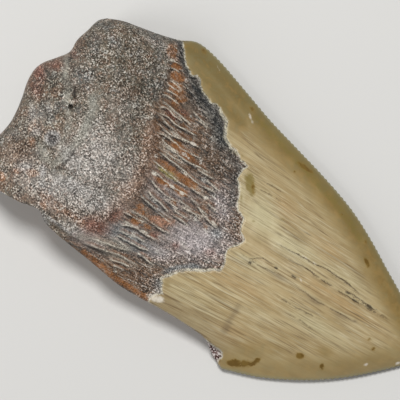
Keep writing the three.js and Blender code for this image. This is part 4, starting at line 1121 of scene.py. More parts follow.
def lingual_face(x, y):
    """Height of the lingual face, and what the material needs to know about each point"""
    across = np.abs(share_across(x, y))
    root = root_share(x, y)
    past_neck = past_neck_line(x, y)
    neck = smoothstep(past_neck, *NECK_LINE_BLUR)
    out_of_chip = past_chip(x, y)
    past_enamel = np.minimum(past_enamel_edge(x, y, LINGUAL_ENAMEL_EDGE), out_of_chip)
    enamel = smoothstep(past_enamel, -ENAMEL_STEP / 2, ENAMEL_STEP / 2)

    profile = mix(1 - across ** CROWN_PROFILE, 1 - ROOT_PROFILE[1] * across ** ROOT_PROFILE[0], root)
    height = EDGE_HEIGHT + EDGE_THICKNESS + (swell_at(x) - EDGE_HEIGHT) * profile
    height = height + swells_and_creases(x, y)
    height = height - NECK_DROP * neck * (1 - across ** 2) - ledge_drop(x, y)
    height = height + lumps(x, y, LUMPS) * mix(1, NECK_LUMPS, neck)
    height = height + lumps(x, y, GRAIN_LUMPS) * (1 - enamel)

    ridges = [(1, path) for path in RIDGES]
    ridges += [(FINE_RIDGE_SHARE, path) for path in FINE_RIDGES] + small_ridges()
    ridge, ridge_near, ridge_side = strokes_near(ridges, x, y)
    ridge = ridge * (1 - enamel) * smoothstep(past_neck, *RIDGES_START)
    height = height + RIDGE_HEIGHT * ridge * bell(ridge_near, RIDGE_HALF_WIDTH, RIDGE_POWER)

    cracks = [(1, path) for path in CRACKS] + [(FAINT_CRACK_SHARE, path) for path in FAINT_CRACKS]
    crack, crack_near, crack_side = strokes_near(cracks, x, y)
    height = height - CRACK_DEPTH * crack * enamel * bell(crack_near, CRACK_HALF_WIDTH)

    height = height + LINGUAL_ENAMEL * enamel
    height = height - CHIP_DEPTH * smoothstep(-out_of_chip, -CHIP_RIM, CHIP_SLOPE)
    from_foramen = np.hypot(x - FORAMEN["at"][0], y - FORAMEN["at"][1])
    height = height - FORAMEN["depth"] * (1 - smoothstep(from_foramen, *FORAMEN["radii"]))
    height = height - rounded_edge(distance_to(root_path, x, y), ROOT_ROUNDING * root)
    height = height - rounded_edge(distance_to(break_path, x, y), BREAK_ROUNDING)
    facts = {
        "lingual": 1, "enamel": past_enamel, "neck": past_neck,
        "chip": smoothstep(-out_of_chip, -CHIP_RIM, CHIP_RIM),
        **stroke_facts("ridge", ridge, ridge_near, ridge_side),
        **stroke_facts("crack", crack * enamel, crack_near, crack_side),
        **marks_at(x, y),
    }
    return height, facts


def labial_face(x, y):
    """The same for the labial face, which has no neck, ridges or cracks"""
    across = np.abs(share_across(x, y))
    root = root_share(x, y)
    past_enamel = past_enamel_edge(x, y, LABIAL_ENAMEL_EDGE)
    enamel = smoothstep(past_enamel, -ENAMEL_STEP, ENAMEL_STEP)
    towards_edges = across ** LABIAL_PROFILE[0]
    hollow = bell(x - LABIAL_HOLLOW["x"], LABIAL_HOLLOW["half_length"])
    tip = smoothstep(x, LABIAL_TIP["start"], LABIAL_TIP["end"])
    height = (LABIAL_HOLLOW["depth"] * hollow + LABIAL_TIP["rise"] * tip) * (1 - towards_edges) - LAND_SINK
    crown_rise = (EDGE_HEIGHT + LAND_SINK) * towards_edges
    height = height + mix(crown_rise, LABIAL_ROOT_RISE * across ** LABIAL_PROFILE[1], root)
    height = height + lumps(x + LABIAL_LUMPS_SHIFT, y, LUMPS) * root
    height = height + rounded_edge(distance_to(root_path, x, y), LABIAL_ROUNDING * root)
    height = np.maximum(0, height + LABIAL_ENAMEL * (1 - enamel))
    facts = {
        "lingual": 0, "enamel": past_enamel, "neck": NO_NECK, "chip": 0,
        **stroke_facts("ridge", 0, STROKE_REACH, 0),
        **stroke_facts("crack", 0, STROKE_REACH, 0),
        **marks_at(x - LABIAL_MARKS_SHIFT, -y),
        "olive": 1 - smoothstep(off_cutting_edges(x, y), *LABIAL_OLIVE_BAND),
        "white": 0,
    }
    return height, facts


def outline():
    """Rows of the outline's points: x, y, inward normal, place along the outline and the wall's shape"""
    lower_ends = break_curve.length / lower_side.length
    upper_ends = whole_edge_curve.length / upper_side.length
    plain = {"rounding": 0, "lean": 0, "relief": 0, "serrated": 0, "broken": 0}
    broken = {**plain, "lean": BREAK_LEAN, "relief": BREAK_RELIEF, "broken": 1}
    cutting = {**plain, "rounding": CUTTING_EDGE_ROUNDING, "serrated": SERRATION_DEPTH}
    rounded = {**plain, "rounding": ROOT_WALL_BULGE}
    parts = [
        (break_curve, 0, lower_ends, BREAK_STEP, broken),
        (short_edge_curve, lower_ends, 1, CUTTING_EDGE_STEP, cutting),
        (tip_curve, 1, 2, CUTTING_EDGE_STEP, {**cutting, "serrated": 0}),
        (whole_edge_curve, 2, 2 + upper_ends, CUTTING_EDGE_STEP, cutting),
        (root_side_curve, 2 + upper_ends, 3, ROOT_STEP, rounded),
        (root_base_curve, 3, 4, ROOT_STEP, rounded),
    ]
    rows = []
    for curve, start, end, step, wall in parts:
        count = round(curve.length / step)
        share = np.arange(count) / count
        from_end = np.minimum(share, 1 - share) * curve.length
        fade = smoothstep(from_end, 0, WALL_FADE)
        teeth = 0.5 - np.abs(np.sin(np.pi * share * round(curve.length / SERRATION_PITCH)))
        notch = wall["serrated"] * smoothstep(from_end, 0, SERRATION_FADE) * teeth
        inward = curve.inward(share)
        place = curve.at(share) + inward * notch[:, None]
        shape = [fade * wall[key] for key in ("rounding", "lean", "relief", "broken")]
        rows.append(np.column_stack([place, inward, mix(start, end, share), *shape]))
    return np.vstack(rows)


def inside_points(along, across):
    """Points inside the outline, along from the root's base to the tip and across from the break"""
    low, high = lower_side.at(along), upper_side.at(1 - along)
    base, tip = root_base_curve.at(1 - across), tip_curve.at(across)
    along, across = np.asarray(along)[..., None], np.asarray(across)[..., None]
    base_corners = mix(break_curve.at(0), root_side_curve.at(1), across)
    tip_corners = mix(tip_curve.at(0), tip_curve.at(1), across)
    return mix(low, high, across) + mix(base, tip, along) - mix(base_corners, tip_corners, along)


class Surface:
    """Collects the points of the tooth, with the facts that the material needs, and its faces"""

    def __init__(self):
        self.points = []
        self.facts = []
        self.count = 0
        self.faces = []
        self.places = []

    def add(self, x, y, z, facts, **more):
        """Adds points, and gives the number of the first"""
        self.points.append(np.column_stack([x, y, z]))
        everything = {**facts, **more}
        self.facts.append({key: np.broadcast_to(value, np.shape(x)) for key, value in everything.items()})
        first = self.count
        self.count += len(x)
        return first

    def face(self, corners, places):
        """Adds a face, with the baked area of each corner and, on the wall, its place there"""
        self.faces.append(corners)
        self.places += places

    def stitch(self, left, right, area):
        """Joins two chains of (t, number) with a band of triangles, their t rising alike"""
        i = j = 0
        while i < len(left) - 1 or j < len(right) - 1:
            next_left = left[i + 1][0] if i < len(left) - 1 else math.inf
            next_right = right[j + 1][0] if j < len(right) - 1 else math.inf
            corners = [left[i][1], right[j][1]]
            if next_left <= next_right:
                i += 1
                corners.append(left[i][1])
            else:
                j += 1
                corners.append(right[j][1])
            self.face(corners, [(area, 0, 0)] * 3)


def top_step(x):
    """The size of the lingual face's triangles, smallest on the ridged neck"""
    neck = smoothstep(x, *NECK_STARTS) * (1 - smoothstep(x, *NECK_ENDS))
    return mix(mix(ROOT_TOP_STEP, CROWN_STEP, smoothstep(x, *NECK_ENDS)), NECK_STEP, neck)


def top_inset(x):
    """How far inside the outline the lingual sheet ends, which is inside the root's rounded wall"""
    return mix(TOP_INSET["root"], TOP_INSET["crown"], smoothstep(x, *TOP_INSET["change"]))


def columns_of(step_at, inset_at):
    """The places along the tooth of a sheet's columns, as shares"""
    margin = END_MARGIN * float(inset_at(0)) / tooth_length
    alongs = [margin]
    while alongs[-1] < 1 - margin:
        x = float(inside_points(alongs[-1], 0.5)[0])
        alongs.append(alongs[-1] + float(step_at(x)) / tooth_length)
    alongs = np.array(alongs)
    return margin + (alongs - margin) * (1 - 2 * margin) / (alongs[-1] - margin)


def sheet(surface, face_heights, step_at, inset_at):
    """Adds a face's columns of points: pairs of their place along it and a chain of (t, number) across"""
    columns = columns_of(step_at, inset_at)
    alongs, acrosses, rows_of = [], [], []
    for along in columns:
        x = float(inside_points(along, 0.5)[0])
        width = np.linalg.norm(inside_points(along, 0.0) - inside_points(along, 1.0))
        rows = max(2, round(width / float(step_at(x))))
        t = np.arange(rows + 1) / rows
        alongs.append(np.full(rows + 1, along))
        acrosses.append(mix(inset_at(x) / width, 1 - inset_at(x) / width, t))
        rows_of.append(t)
    x, y = inside_points(np.concatenate(alongs), np.concatenate(acrosses)).T
    height, facts = face_heights(x, y)
    first = surface.add(x, y, height, facts, wall=0.0, broken=0.0)
    chains = []
    for along, t in zip(columns, rows_of):
        chains.append((along, [(float(share), first + i) for i, share in enumerate(t)]))
        first += len(t)
    return chains


def rim_of(chains):
    """The rim of a sheet as one closed chain, with t running as it does on the outline"""
    first, last = chains[0][1], chains[-1][1]
    rim = [(0.0, first[0][1])]
    rim += [(along, chain[0][1]) for along, chain in chains[1:-1]]
    rim += [(1 + t, number) for t, number in last]
    rim += [(3 - along, chain[-1][1]) for along, chain in reversed(chains[1:-1])]
    rim += [(4 - t, number) for t, number in reversed(first)]
    return rim


def break_roughness(x, y, up):
    """How far the break stands back, in shares of its relief"""
    size, layers = BREAK_LUMPS["size"], BREAK_LUMPS["layers"]
    broad = np.abs(noise(x / size, y / size, layers * up))
    size, layers = BREAK_GRAIN["size"], BREAK_GRAIN["layers"]
    return broad + BREAK_GRAIN["share"] * noise(x / size, y / size, layers * up)


def wall_points(surface):
    """Adds the wall's levels, from the underside up, and gives the first number and the places around"""
    x, y, nx, ny, t, rounding, lean, relief, broken = outline().T
    top, top_facts = lingual_face(x + nx * rounding, y + ny * rounding)
    bottom, bottom_facts = labial_face(x + nx * (rounding + lean), y + ny * (rounding + lean))
    first = surface.count
    for level in range(WALL_LEVELS + 1):
        up = level / WALL_LEVELS
        between = 0 < level < WALL_LEVELS
        inward = rounding * (2 * up - 1) ** 2 + lean * (1 - up)
        inward = inward + relief * break_roughness(x, y, up) * math.sin(math.pi * up)
        facts = {key: mix(bottom_facts[key], top_facts[key], up) for key in top_facts}
        facts["enamel"] = mix(facts["enamel"], NO_ENAMEL, broken * between)
        facts["broken"] = broken * (level < WALL_LEVELS)
        surface.add(x + nx * inward, y + ny * inward, mix(bottom, top, up), facts, wall=float(between))
    return first, t


def build_faces(surface):
    """Makes both sheets and the wall, and joins them into one closed surface"""
    lingual = sheet(surface, lingual_face, top_step, top_inset)
    labial = sheet(surface, labial_face, lambda x: UNDERSIDE_STEP, lambda x: UNDERSIDE_INSET)
    first, t = wall_points(surface)
    count = len(t)
    round_t = np.append(t, 4.0)
    for i in range(count):
        for level in range(WALL_LEVELS):
            low, high = first + level * count, first + (level + 1) * count
            j = (i + 1) % count
            ends = [(i, 0), (i + 1, 0), (i + 1, 1), (i, 1)]
            places = [("wall", round_t[k] / 4, (level + up) / WALL_LEVELS) for k, up in ends]
            surface.face([low + i, low + j, high + j, high + i], places)
    for (_, left), (_, right) in zip(lingual, lingual[1:]):
        surface.stitch(left, right, "lingual")
    for (_, left), (_, right) in zip(labial, labial[1:]):
        surface.stitch(right, left, "labial")
    top = first + WALL_LEVELS * count
    top_ring = [(float(share), top + i % count) for i, share in enumerate(round_t)]
    bottom_ring = [(float(share), first + i % count) for i, share in enumerate(round_t)]
    surface.stitch(rim_of(lingual), top_ring, "lingual")
    surface.stitch(bottom_ring, rim_of(labial), "labial")


def baked_places(surface, points):
    """The corners' places on the baked image: the lingual face fills most of it"""
    low, high = points.min(0), points.max(0)
    corners = np.concatenate([np.asarray(face) for face in surface.faces])
    in_plan = (points[corners, :2] - low[:2]) / (high[0] - low[0])
    areas = np.array([area for area, _, _ in surface.places])
    on_wall = np.array([place for _, *place in surface.places])
    made = np.empty_like(in_plan)
    for area, (corner, size) in BAKED_AREAS.items():
        within = on_wall if area == "wall" else in_plan
        here = areas == area
        made[here] = corner + size * within[here]
    return made


def write_fact(mesh, name, values):
    """Writes a number or a vector for each point of the mesh, which the material reads by its name"""
    values = np.asarray(values, np.float32)
    kind, field = ("FLOAT", "value") if values.ndim == 1 else ("FLOAT_VECTOR", "vector")
    mesh.attributes.new(name, kind, "POINT").data.foreach_set(field, values.ravel())


def tooth_mesh():
    surface = Surface()
    build_faces(surface)
    points = np.vstack(surface.points)
    low, high = np.array(CAD_BOX[0]) / MM, np.array(CAD_BOX[1]) / MM
    shift = (low + high) / 2 - (points.min(0) + points.max(0)) / 2
    placed = np.clip(points + [shift[0], shift[1], 0], low, high)
    mesh = bpy.data.meshes.new("tooth")
    mesh.from_pydata((placed * MM).tolist(), [], surface.faces)
    for key in surface.facts[0]:
        write_fact(mesh, key, np.concatenate([facts[key] for facts in surface.facts]))
    x, y, z = points.T
    write_fact(mesh, "grain", np.column_stack([x, across_grain(x, y), z]))
    write_fact(mesh, "cutting", off_cutting_edges(x, y))
    places = baked_places(surface, points)
    mesh.uv_layers.new(name="OFBake").data.foreach_set("uv", places.astype(np.float32).ravel())
    mesh.shade_smooth()
    mesh.set_sharp_from_angle(angle=SHARP_EDGE)
    return mesh


def colour(code):
    """The linear colour of an sRGB code such as 9a8c70"""
    parts = [int(code[i:i + 2], 16) / 255 for i in (0, 2, 4)]
    linear = [c / 12.92 if c <= 0.04045 else ((c + 0.055) / 1.055) ** 2.4 for c in parts]
    return (*linear, 1.0)


class Field:
    """A value that varies over the surface: a shader node's output, with arithmetic"""

    def __init__(self, nodes, socket):
        self.nodes = nodes
        self.socket = socket

    def __add__(self, other):
        return self.nodes.math("ADD", self, other)

    def __sub__(self, other):
        return self.nodes.math("SUBTRACT", self, other)

    def __rsub__(self, other):
        return self.nodes.math("SUBTRACT", other, self)

    def __mul__(self, other):
        return self.nodes.math("MULTIPLY", self, other)

    def __truediv__(self, other):
        return self.nodes.math("DIVIDE", self, other)


class MaterialNodes:
    """The nodes of one material"""

    def __init__(self, name):
        self.material = bpy.data.materials.new(name)
        self.material.use_nodes = True
        self.tree = self.material.node_tree
        self.tree.nodes.clear()

    def make(self, kind, inputs, output=0, **settings):
        """Adds a node: fields are linked to its sockets, and plain values are set on them"""
        node = self.tree.nodes.new(kind)
        for setting, value in settings.items():
            setattr(node, setting, value)
        for key, value in inputs.items():
            if isinstance(value, Field):
                self.tree.links.new(value.socket, node.inputs[key])
            else:
                node.inputs[key].default_value = value
        return None if output is None else Field(self, node.outputs[output])

    def finish(self, shader):
        self.make("ShaderNodeOutputMaterial", {"Surface": shader}, output=None)

    def math(self, operation, *values):
        return self.make("ShaderNodeMath", dict(enumerate(values)), operation=operation)

    def fact(self, name, output="Fac"):
        return self.make("ShaderNodeAttribute", {}, output=output, attribute_name=name)

    def coordinate(self, vector, axis):
        return self.make("ShaderNodeSeparateXYZ", {0: vector}, output=axis)

    def scaled(self, vector, factor):
        return self.make("ShaderNodeVectorMath", {0: vector, "Scale": factor}, operation="SCALE")

    def noise_of(self, vector, frequency, detail, roughness=0.5, distortion=0.0):
        """Noise from 0 to 1, with one frequency per millimetre or one for each axis"""
        if isinstance(frequency, tuple):
            vector = self.make("ShaderNodeVectorMath", {0: vector, 1: frequency}, operation="MULTIPLY")
            frequency = 1.0
        inputs = {"Vector": vector, "Scale": frequency, "Detail": detail, "Roughness": roughness,
                  "Distortion": distortion}
        return self.make("ShaderNodeTexNoise", inputs, output="Fac")

    def noise(self, vector, name):
        """One of the named noises"""
        return self.noise_of(vector, *NOISES[name])

    def waver(self, vector, name):
        """The same from -0.5 to 0.5"""
        return self.noise(vector, name) - 0.5

    def step(self, value, low, high):
        """0 below low and 1 above high, smooth between them; low may be the higher one"""
        inputs = {"Value": value, "From Min": low, "From Max": high, "To Min": 0.0, "To Max": 1.0}
        return self.make("ShaderNodeMapRange", inputs, interpolation_type="SMOOTHSTEP")

    def bell(self, value, centre, half_width):
        """1 where the value is the centre, and near 0 past the half width"""
        off = (value - centre) / half_width
        return self.math("EXPONENT", off * off * -1.0)

    def mix(self, share, a, b):
        return self.make("ShaderNodeMix", {0: share, 6: a, 7: b}, output=2, data_type="RGBA")

    def brightened(self, shade, stops):
        return self.scaled(shade, self.math("POWER", 2.0, stops))

    def painted(self, shade, name, share):
        """A colour with one of the named shades over it"""
        code, most = SHADES[name]
        return self.mix(share * most, shade, colour(code))

    def stained(self, shade, marks, layer):
        """A colour with one layer of stains over it"""
        for name, code, share in STAINS[layer]:
            shade = self.mix(marks[name] * share, shade, colour(code))
        return shade

    def ramp(self, value, name):
        """The colour of a named ramp at a value"""
        node = self.tree.nodes.new("ShaderNodeValToRGB")
        self.tree.links.new(value.socket, node.inputs[0])
        elements = node.color_ramp.elements
        stops = RAMPS[name]
        while len(elements) < len(stops):
            elements.new(0.5)
        for element, (position, code) in zip(elements, stops):
            element.position = position
            element.color = colour(code)
        return Field(self, node.outputs[0])


def lifted(share, least):
    """A share from 0 to 1 as one from the least to 1"""
    return share * (1 - least) + least


def bone_speckle(m, place):
    """Salt and pepper at several sizes, about -2 to 2"""
    patchy = m.step(m.noise(place, "patches of the speckle"), 0.34, 0.62) * 0.6 + 0.72
    fine = m.waver(place, "fine speckle") * patchy
    middle = m.waver(place, "middle speckle")
    broad = m.waver(place, "broad speckle")
    return fine * SPECKLE["fine"] + middle * SPECKLE["middle"] + broad * SPECKLE["broad"]


def speckled(m, shade, speckle, part, whiteness):
    """A colour of one part made darker and paler by the speckle, and whiter where it is palest, which is
    partly pale grains and partly painted glints
    """
    shade = m.brightened(shade, speckle * SPECKLE_STOPS[part])
    return m.painted(shade, "white speck and painted glint", m.step(speckle, 1.0, 3.0) * whiteness)


def bone_colour(m, place, speckle, marks):
    """Worn grey-brown bone of the root, with painted highlights and glints, and painted shade in its hollows
    and towards its base
    """
    shade = m.ramp(m.noise(place, "bone"), "bone")
    shade = m.stained(shade, marks, "under the bone's grains")
    grains = m.noise(place, "grains of the bone")
    shade = m.painted(shade, "warm grain", m.step(grains, 0.56, 0.68))
    shade = m.painted(shade, "cool grain", m.step(grains, 0.44, 0.32))
    shade = m.stained(shade, marks, "bone")
    calmer = speckle * (1.0 - marks["sage"] * 0.45)
    # Fewer white specks and painted glints where the umber lies
    shade = speckled(m, shade, calmer, "bone", whiteness=0.6 - marks["umber"] * 0.4)
    along = m.coordinate(place, "X")
    blotches = m.waver(place, "blotches of the base") * m.step(along, *ALONG_THE_TOOTH["blotches"])
    # Painted shade: the root is darker towards its base
    base = m.step(along, *ALONG_THE_TOOTH["painted shade on the base"])
    shade = m.brightened(shade, blotches * BASE_STOPS["blotches"] - base * BASE_STOPS["darker"])
    # Pale marks: painted highlights and glints on the lobes and the boss, and pale marks elsewhere
    pale = m.ramp(m.step(speckle, -1.8, 1.8), "worn bone and painted highlights")
    shade = m.mix(marks["pale"] * PALE_SHARE, shade, pale)
    # Painted shade in the hollows, where the dark marks are
    return m.painted(shade, "painted shade of a hollow of the root", marks["dark"])


def ridge_flanks(m, shade, ridge, near, side):
    """Brown on one side of each big ridge and dark on the other, as painted light on its lit side and painted
    shadow on its shaded side
    """
    big = m.step(ridge, 0.25, 0.8)
    # Brown as painted light on the lit side, dark as painted shadow on the other
    brown = m.bell(near, *BANDS["lit brown flank"]) * m.step(side, -0.2, 0.4) * big
    dark = m.bell(near, *BANDS["shaded flank"]) * m.step(side, 0.2, -0.4) * big
    return m.painted(m.painted(shade, "lit brown flank", brown), "shaded flank", dark)


def ridge_crests(m, place, grain, speckle, ridge, near):
    """The share of the cream colour on the crests, which is worn off here and there"""
    ragged = m.waver(place, "ragged crests") * RAGGED["crests"]
    on_crest = m.bell(m.fact("ridge_off") + ragged, *BANDS["crest"]) * m.step(near, *FROM_LINE["crest"])
    broken = m.step(m.noise(grain, "worn crests"), 0.36, 0.56)
    kept = lifted(broken, 0.4) * lifted(m.step(speckle, -1.6, 0.6), 0.6)
    return on_crest * m.step(ridge, 0.15, 0.75) * kept


def neck_colour(m, place, grain, speckle, marks):
    """The ridged neck: cream crests over brown, orange and charcoal flanks, with painted light and painted
    shadow on the flanks of the big ridges
    """
    charcoal = marks["charcoal"]
    streaks = m.noise(grain, "streaks of the neck")
    shade = m.stained(m.ramp(streaks, "neck"), marks, "under the neck's ridges")
    ridge, near = m.fact("ridge"), m.fact("ridge_near")
    shade = ridge_flanks(m, shade, ridge, near, m.fact("ridge_side"))
    shade = m.stained(shade, marks, "neck")
    plainer = m.math("MAXIMUM", marks["orange"], marks["plain"])
    by_enamel = m.step(m.fact("enamel"), *PAST_ENAMEL["granular neck"])
    granular = m.math("MAXIMUM", lifted(by_enamel, 0.4), marks["red"])
    calm = (1.0 - plainer * 0.65) * (1.0 - charcoal * 0.1)
    uneven = (speckle * granular + (streaks - 0.5) * SPECKLE["streaks"]) * calm
    shade = speckled(m, shade, uneven, "neck", whiteness=0.5 - charcoal * 0.25)
    crests = ridge_crests(m, place, grain, speckle, ridge, near)
    shade = m.painted(shade, "crest", crests * (1.0 - charcoal * 0.85))
    hairs = m.bell(m.noise(grain, "hairs of the neck"), 0.5, 0.03) * (charcoal * 0.25 + 0.45)
    hairs = hairs * m.step(m.noise(place, "patches of hairs"), 0.4, 0.6)
    shade = m.painted(shade, "pale hair", hairs * (1.0 - marks["plain"]))
    # Painted shade where the dark marks are
    return m.painted(shade, "painted shade of a hollow of the neck", marks["dark"])


def enamel_lines(m, shade, grain, share):
    """Fine dark and pale lines along the grain"""
    for across, along, width, strength, code in ENAMEL_LINES:
        lines = m.noise_of(grain, (along, across, LINES_UPWARDS), 1.0)
        patches = (LINE_PATCHES["along"], LINE_PATCHES["share_across"] * across, LINE_PATCHES["upwards"])
        here = m.step(m.noise_of(grain, patches, 1.0), 0.44, 0.56)
        shade = m.mix(m.bell(lines, 0.5, width) * here * share * strength, shade, colour(code))
    return shade


def olive_colour(m, place, grain, patches):
    """Smooth mottled olive enamel, darker towards the root by painted shade"""
    shade = m.ramp(patches, "olive")
    # Painted shade: darker towards the root
    shade_by_the_root = m.step(m.coordinate(grain, "X"), *ALONG_THE_TOOTH["painted shade on the olive"])
    shade = m.painted(shade, "olive darkened by painted shade", shade_by_the_root)
    mottled = m.noise(place, "mottled olive")
    shade = m.painted(shade, "warm olive", m.step(mottled, 0.5, 0.64))
    return m.painted(shade, "cool olive", m.step(mottled, 0.48, 0.36))


def crack_colour(m, shade, place, grain):
    """A colour with the cracks over it: dark and broken, with a pale side, a brown rim and specks"""
    crack, near, side = m.fact("crack"), m.fact("crack_near"), m.fact("crack_side")
    gaps = crack * m.step(m.noise(grain, "gaps of the cracks"), 0.34, 0.52)
    pale_side = m.bell(near, *BANDS["pale side"]) * m.step(side, -0.2, 0.4) * crack
    shade = m.painted(shade, "pale side of a crack", pale_side)
    shade = m.painted(shade, "brown rim of a crack", m.bell(near, *BANDS["brown rim"]) * gaps)
    ragged = m.waver(place, "ragged cracks") * RAGGED["cracks"]
    in_crack = m.bell(m.fact("crack_off") + ragged, *BANDS["crack"]) * m.step(near, *FROM_LINE["crack"])
    shade = m.painted(shade, "crack", in_crack * gaps)
    specks = m.step(m.noise(place, "specks by the cracks"), 0.57, 0.66) * gaps
    return m.painted(shade, "dark speck", specks * m.step(near, *FROM_LINE["specks"]))


def enamel_colour(m, place, grain, marks):
    """Tan enamel, smooth and olive beside the cutting edges, where the olive is partly painted shade, with
    lines and cracks along its grain
    """
    cutting = m.fact("cutting")
    across = m.coordinate(grain, "Y")
    shade = m.ramp(m.noise(grain, "bands of the enamel"), "enamel")
    shade = m.stained(shade, marks, "under the enamel's lines")
    inner = m.step(cutting, *FROM_CUTTING_EDGE["inner enamel"])
    shade = m.painted(shade, "outer enamel", 1.0 - inner)
    shade = enamel_lines(m, shade, grain, lifted(inner, 0.15) * (1.0 - m.step(marks["olive"], 0.2, 0.7)))
    patches = m.noise(place, "patches of the enamel")
    # Olive beside the cutting edges, partly painted shade
    shade = m.mix(marks["olive"] * OLIVE_SHARE, shade, olive_colour(m, place, grain, patches))
    shade = m.stained(shade, marks, "olive enamel")
    on_whole_edge = m.step(across, *ACROSS_THE_TOOTH["side of the whole edge"])
    serrated = m.step(cutting, *FROM_CUTTING_EDGE["serrations"])
    shade = m.painted(shade, "serrations", serrated * on_whole_edge)
    on_short_edge = m.step(across, *ACROSS_THE_TOOTH["side of the short edge"])
    # The pale rim, partly wear and partly painted highlight where the serrations catch the light, wider on
    # the short edge
    rim_width = on_short_edge * WORN_AND_LIT_RIM["wider_on_short_edge"] + WORN_AND_LIT_RIM["width"]
    off_edge = cutting + (patches - 0.5) * RAGGED["rim"]
    shade = m.painted(shade, "worn rim and painted highlight", m.step(off_edge, rim_width, WORN_AND_LIT_RIM["start"]))
    shade = m.stained(shade, marks, "enamel")
    mottle = lifted(m.step(m.noise(place, "mottled brown stains"), 0.4, 0.58), 0.5)
    shade = m.painted(shade, "core of a brown stain", m.step(marks["brown"], 0.6, 1.0) * mottle)
    return crack_colour(m, shade, place, grain)


def break_colour(m, place, speckle):
    """The lengthwise break: brown and orange dentine with pale streaks"""
    shade = m.ramp(m.noise(place, "streaks of the break"), "dentine")
    shade = m.painted(shade, "orange dentine", m.step(m.noise(place, "orange of the break"), 0.48, 0.6))
    return speckled(m, shade, speckle, "break", whiteness=0.2)


def frayed_marks(m, frayed):
    """The share of each mark, stains and painted light and shade alike, with a frayed edge unless it is a
    soft one
    """
    marks = {name: m.fact(name) for name in MARK_NAMES}
    for name, share in marks.items():
        if name not in SOFT_MARKS:
            fray = frayed * m.step(share, *FRAYED["start"]) * FRAYED["amount"]
            marks[name] = m.step(share + fray, *FRAYED["edge"])
    return marks


def frost_share(m, place, speckle, past_enamel):
    """The share of the pale frost on the bone beside the enamel"""
    reach = m.noise(place, "reach of the frost") * FROST["more_reach"] + FROST["least_reach"]
    return m.step(past_enamel, reach * -1.0, FROST["start"]) * m.step(speckle, -0.8, 1.2)


def broken_edge_share(m, place, grain, past_enamel, fringe):
    """The share of the pale broken edge of the enamel, wider and hairier on a fringe"""
    hairs = m.step(m.noise(grain, "hairs of the broken edge"), 0.36, 0.56)
    flecks = m.step(m.noise(place, "flecks of the broken edge"), 0.38, 0.56)
    half_width = fringe * BROKEN_EDGE["wider_on_fringe"] + BROKEN_EDGE["half_width"]
    shift = fringe * BROKEN_EDGE["shift_on_fringe"]
    edge = m.bell(past_enamel + shift, BROKEN_EDGE["middle"], half_width)
    return edge * (hairs * 0.6 + 0.35) * lifted(flecks, 0.4)


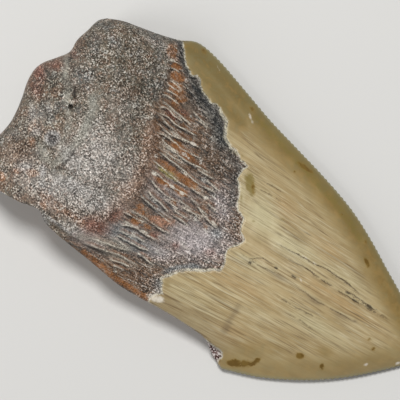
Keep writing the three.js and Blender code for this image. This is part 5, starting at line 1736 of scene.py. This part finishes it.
def tooth_material():
    m = MaterialNodes("fossil_tooth")
    place = m.scaled(m.make("ShaderNodeTexCoord", {}, output="Object"), 1 / MM)
    grain = m.fact("grain", output="Vector")
    speckle = bone_speckle(m, place)
    frayed = m.waver(place, "frayed stains")
    marks = frayed_marks(m, frayed)
    past_enamel = m.fact("enamel") + m.waver(place, "ragged enamel") * RAGGED["enamel"]
    is_enamel = m.step(past_enamel, *PAST_ENAMEL["enamel"])
    past_neck = m.fact("neck") + m.waver(place, "ragged neck line") * RAGGED["neck line"]
    is_neck = m.step(past_neck, *PAST_NECK_LINE) * m.fact("lingual")

    shade = bone_colour(m, place, speckle, marks)
    shade = m.mix(is_neck, shade, neck_colour(m, place, grain, speckle, marks))
    shade = m.mix(m.fact("broken"), shade, break_colour(m, place, speckle))
    shade = m.mix(m.fact("chip"), shade, m.ramp(speckle * 0.25 + 0.5, "chip"))
    shade = m.mix(is_enamel, shade, enamel_colour(m, place, grain, marks))
    frost = frost_share(m, place, speckle, past_enamel) * (1.0 - is_enamel)
    shade = m.painted(shade, "frost", frost * (1.0 - marks["charcoal"] * 0.6))
    past_enamel = past_enamel + frayed * RAGGED["broken edge"]
    edge = broken_edge_share(m, place, grain, past_enamel, marks["fringe"])
    shade = m.painted(shade, "broken enamel", edge)
    shade = m.painted(shade, "white chip", marks["white"])

    lines = m.waver(grain, "relief of the enamel")
    bone_height = speckle * BONE_RELIEF * (1.0 - is_enamel)
    enamel_height = lines * ENAMEL_RELIEF * is_enamel * (1.0 - marks["olive"])
    bump = m.make("ShaderNodeBump", {
        "Height": bone_height + enamel_height, "Strength": 1.0, "Distance": MM}, output="Normal")
    roughness = is_enamel * (ROUGHNESS["enamel"] - ROUGHNESS["bone"]) + ROUGHNESS["bone"]
    roughness = roughness + m.waver(place, "roughness") * ROUGHNESS["unevenness"]
    m.finish(m.make("ShaderNodeBsdfPrincipled", {
        "Base Color": shade, "Roughness": roughness, "Normal": bump, "Specular IOR Level": SPECULAR},
        output="BSDF"))
    return m.material


def placed_object(name, data):
    made = bpy.data.objects.new(name, data)
    bpy.context.scene.collection.objects.link(made)
    return made


def floor():
    mesh = bpy.data.meshes.new("floor")
    half, sink = FLOOR_HALF * MM, FLOOR_SINK * MM
    mesh.from_pydata([(x * half, y * half, -sink) for x, y in SQUARE], [], [(0, 1, 2, 3)])
    m = MaterialNodes("pale_floor")
    m.finish(m.make("ShaderNodeBsdfPrincipled", {
        "Base Color": colour(FLOOR_COLOUR), "Roughness": FLOOR_ROUGHNESS}, output="BSDF"))
    mesh.materials.append(m.material)
    made = placed_object("floor", mesh)


def studio():
    world = bpy.data.worlds.new("studio")
    world.use_nodes = True
    background = world.node_tree.nodes["Background"]
    background.inputs["Color"].default_value = (1, 1, 1, 1)
    background.inputs["Strength"].default_value = SKY_STRENGTH
    bpy.context.scene.world = world
    for name, direction, distance, size, power in LIGHTS:
        light = bpy.data.lights.new(name, "AREA")
        light.shape = "DISK"
        light.size = size
        light.energy = power
        made = placed_object(name, light)
        towards = Vector(direction).normalized()
        made.location = towards * distance
        made.rotation_euler = towards.to_track_quat("Z", "Y").to_euler()


def camera():
    data = bpy.data.cameras.new("camera")
    data.sensor_width = SENSOR_WIDTH
    data.lens = SENSOR_WIDTH * CAMERA_DISTANCE / VIEW_WIDTH
    data.clip_start, data.clip_end = CLIP_METRES
    made = placed_object("camera", data)
    x, y, z = VIEW_CENTRE
    made.location = (x * MM, y * MM, (z + CAMERA_DISTANCE) * MM)
    made.rotation_euler = (0, 0, VIEW_ROLL)
    bpy.context.scene.camera = made


def main():
    bpy.context.scene.view_settings.view_transform = "Standard"
    tooth = placed_object("fossil_tooth", tooth_mesh())
    tooth.data.materials.append(tooth_material())
    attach(tooth, "root")
    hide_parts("tooth")
    floor()
    studio()
    camera()


main()
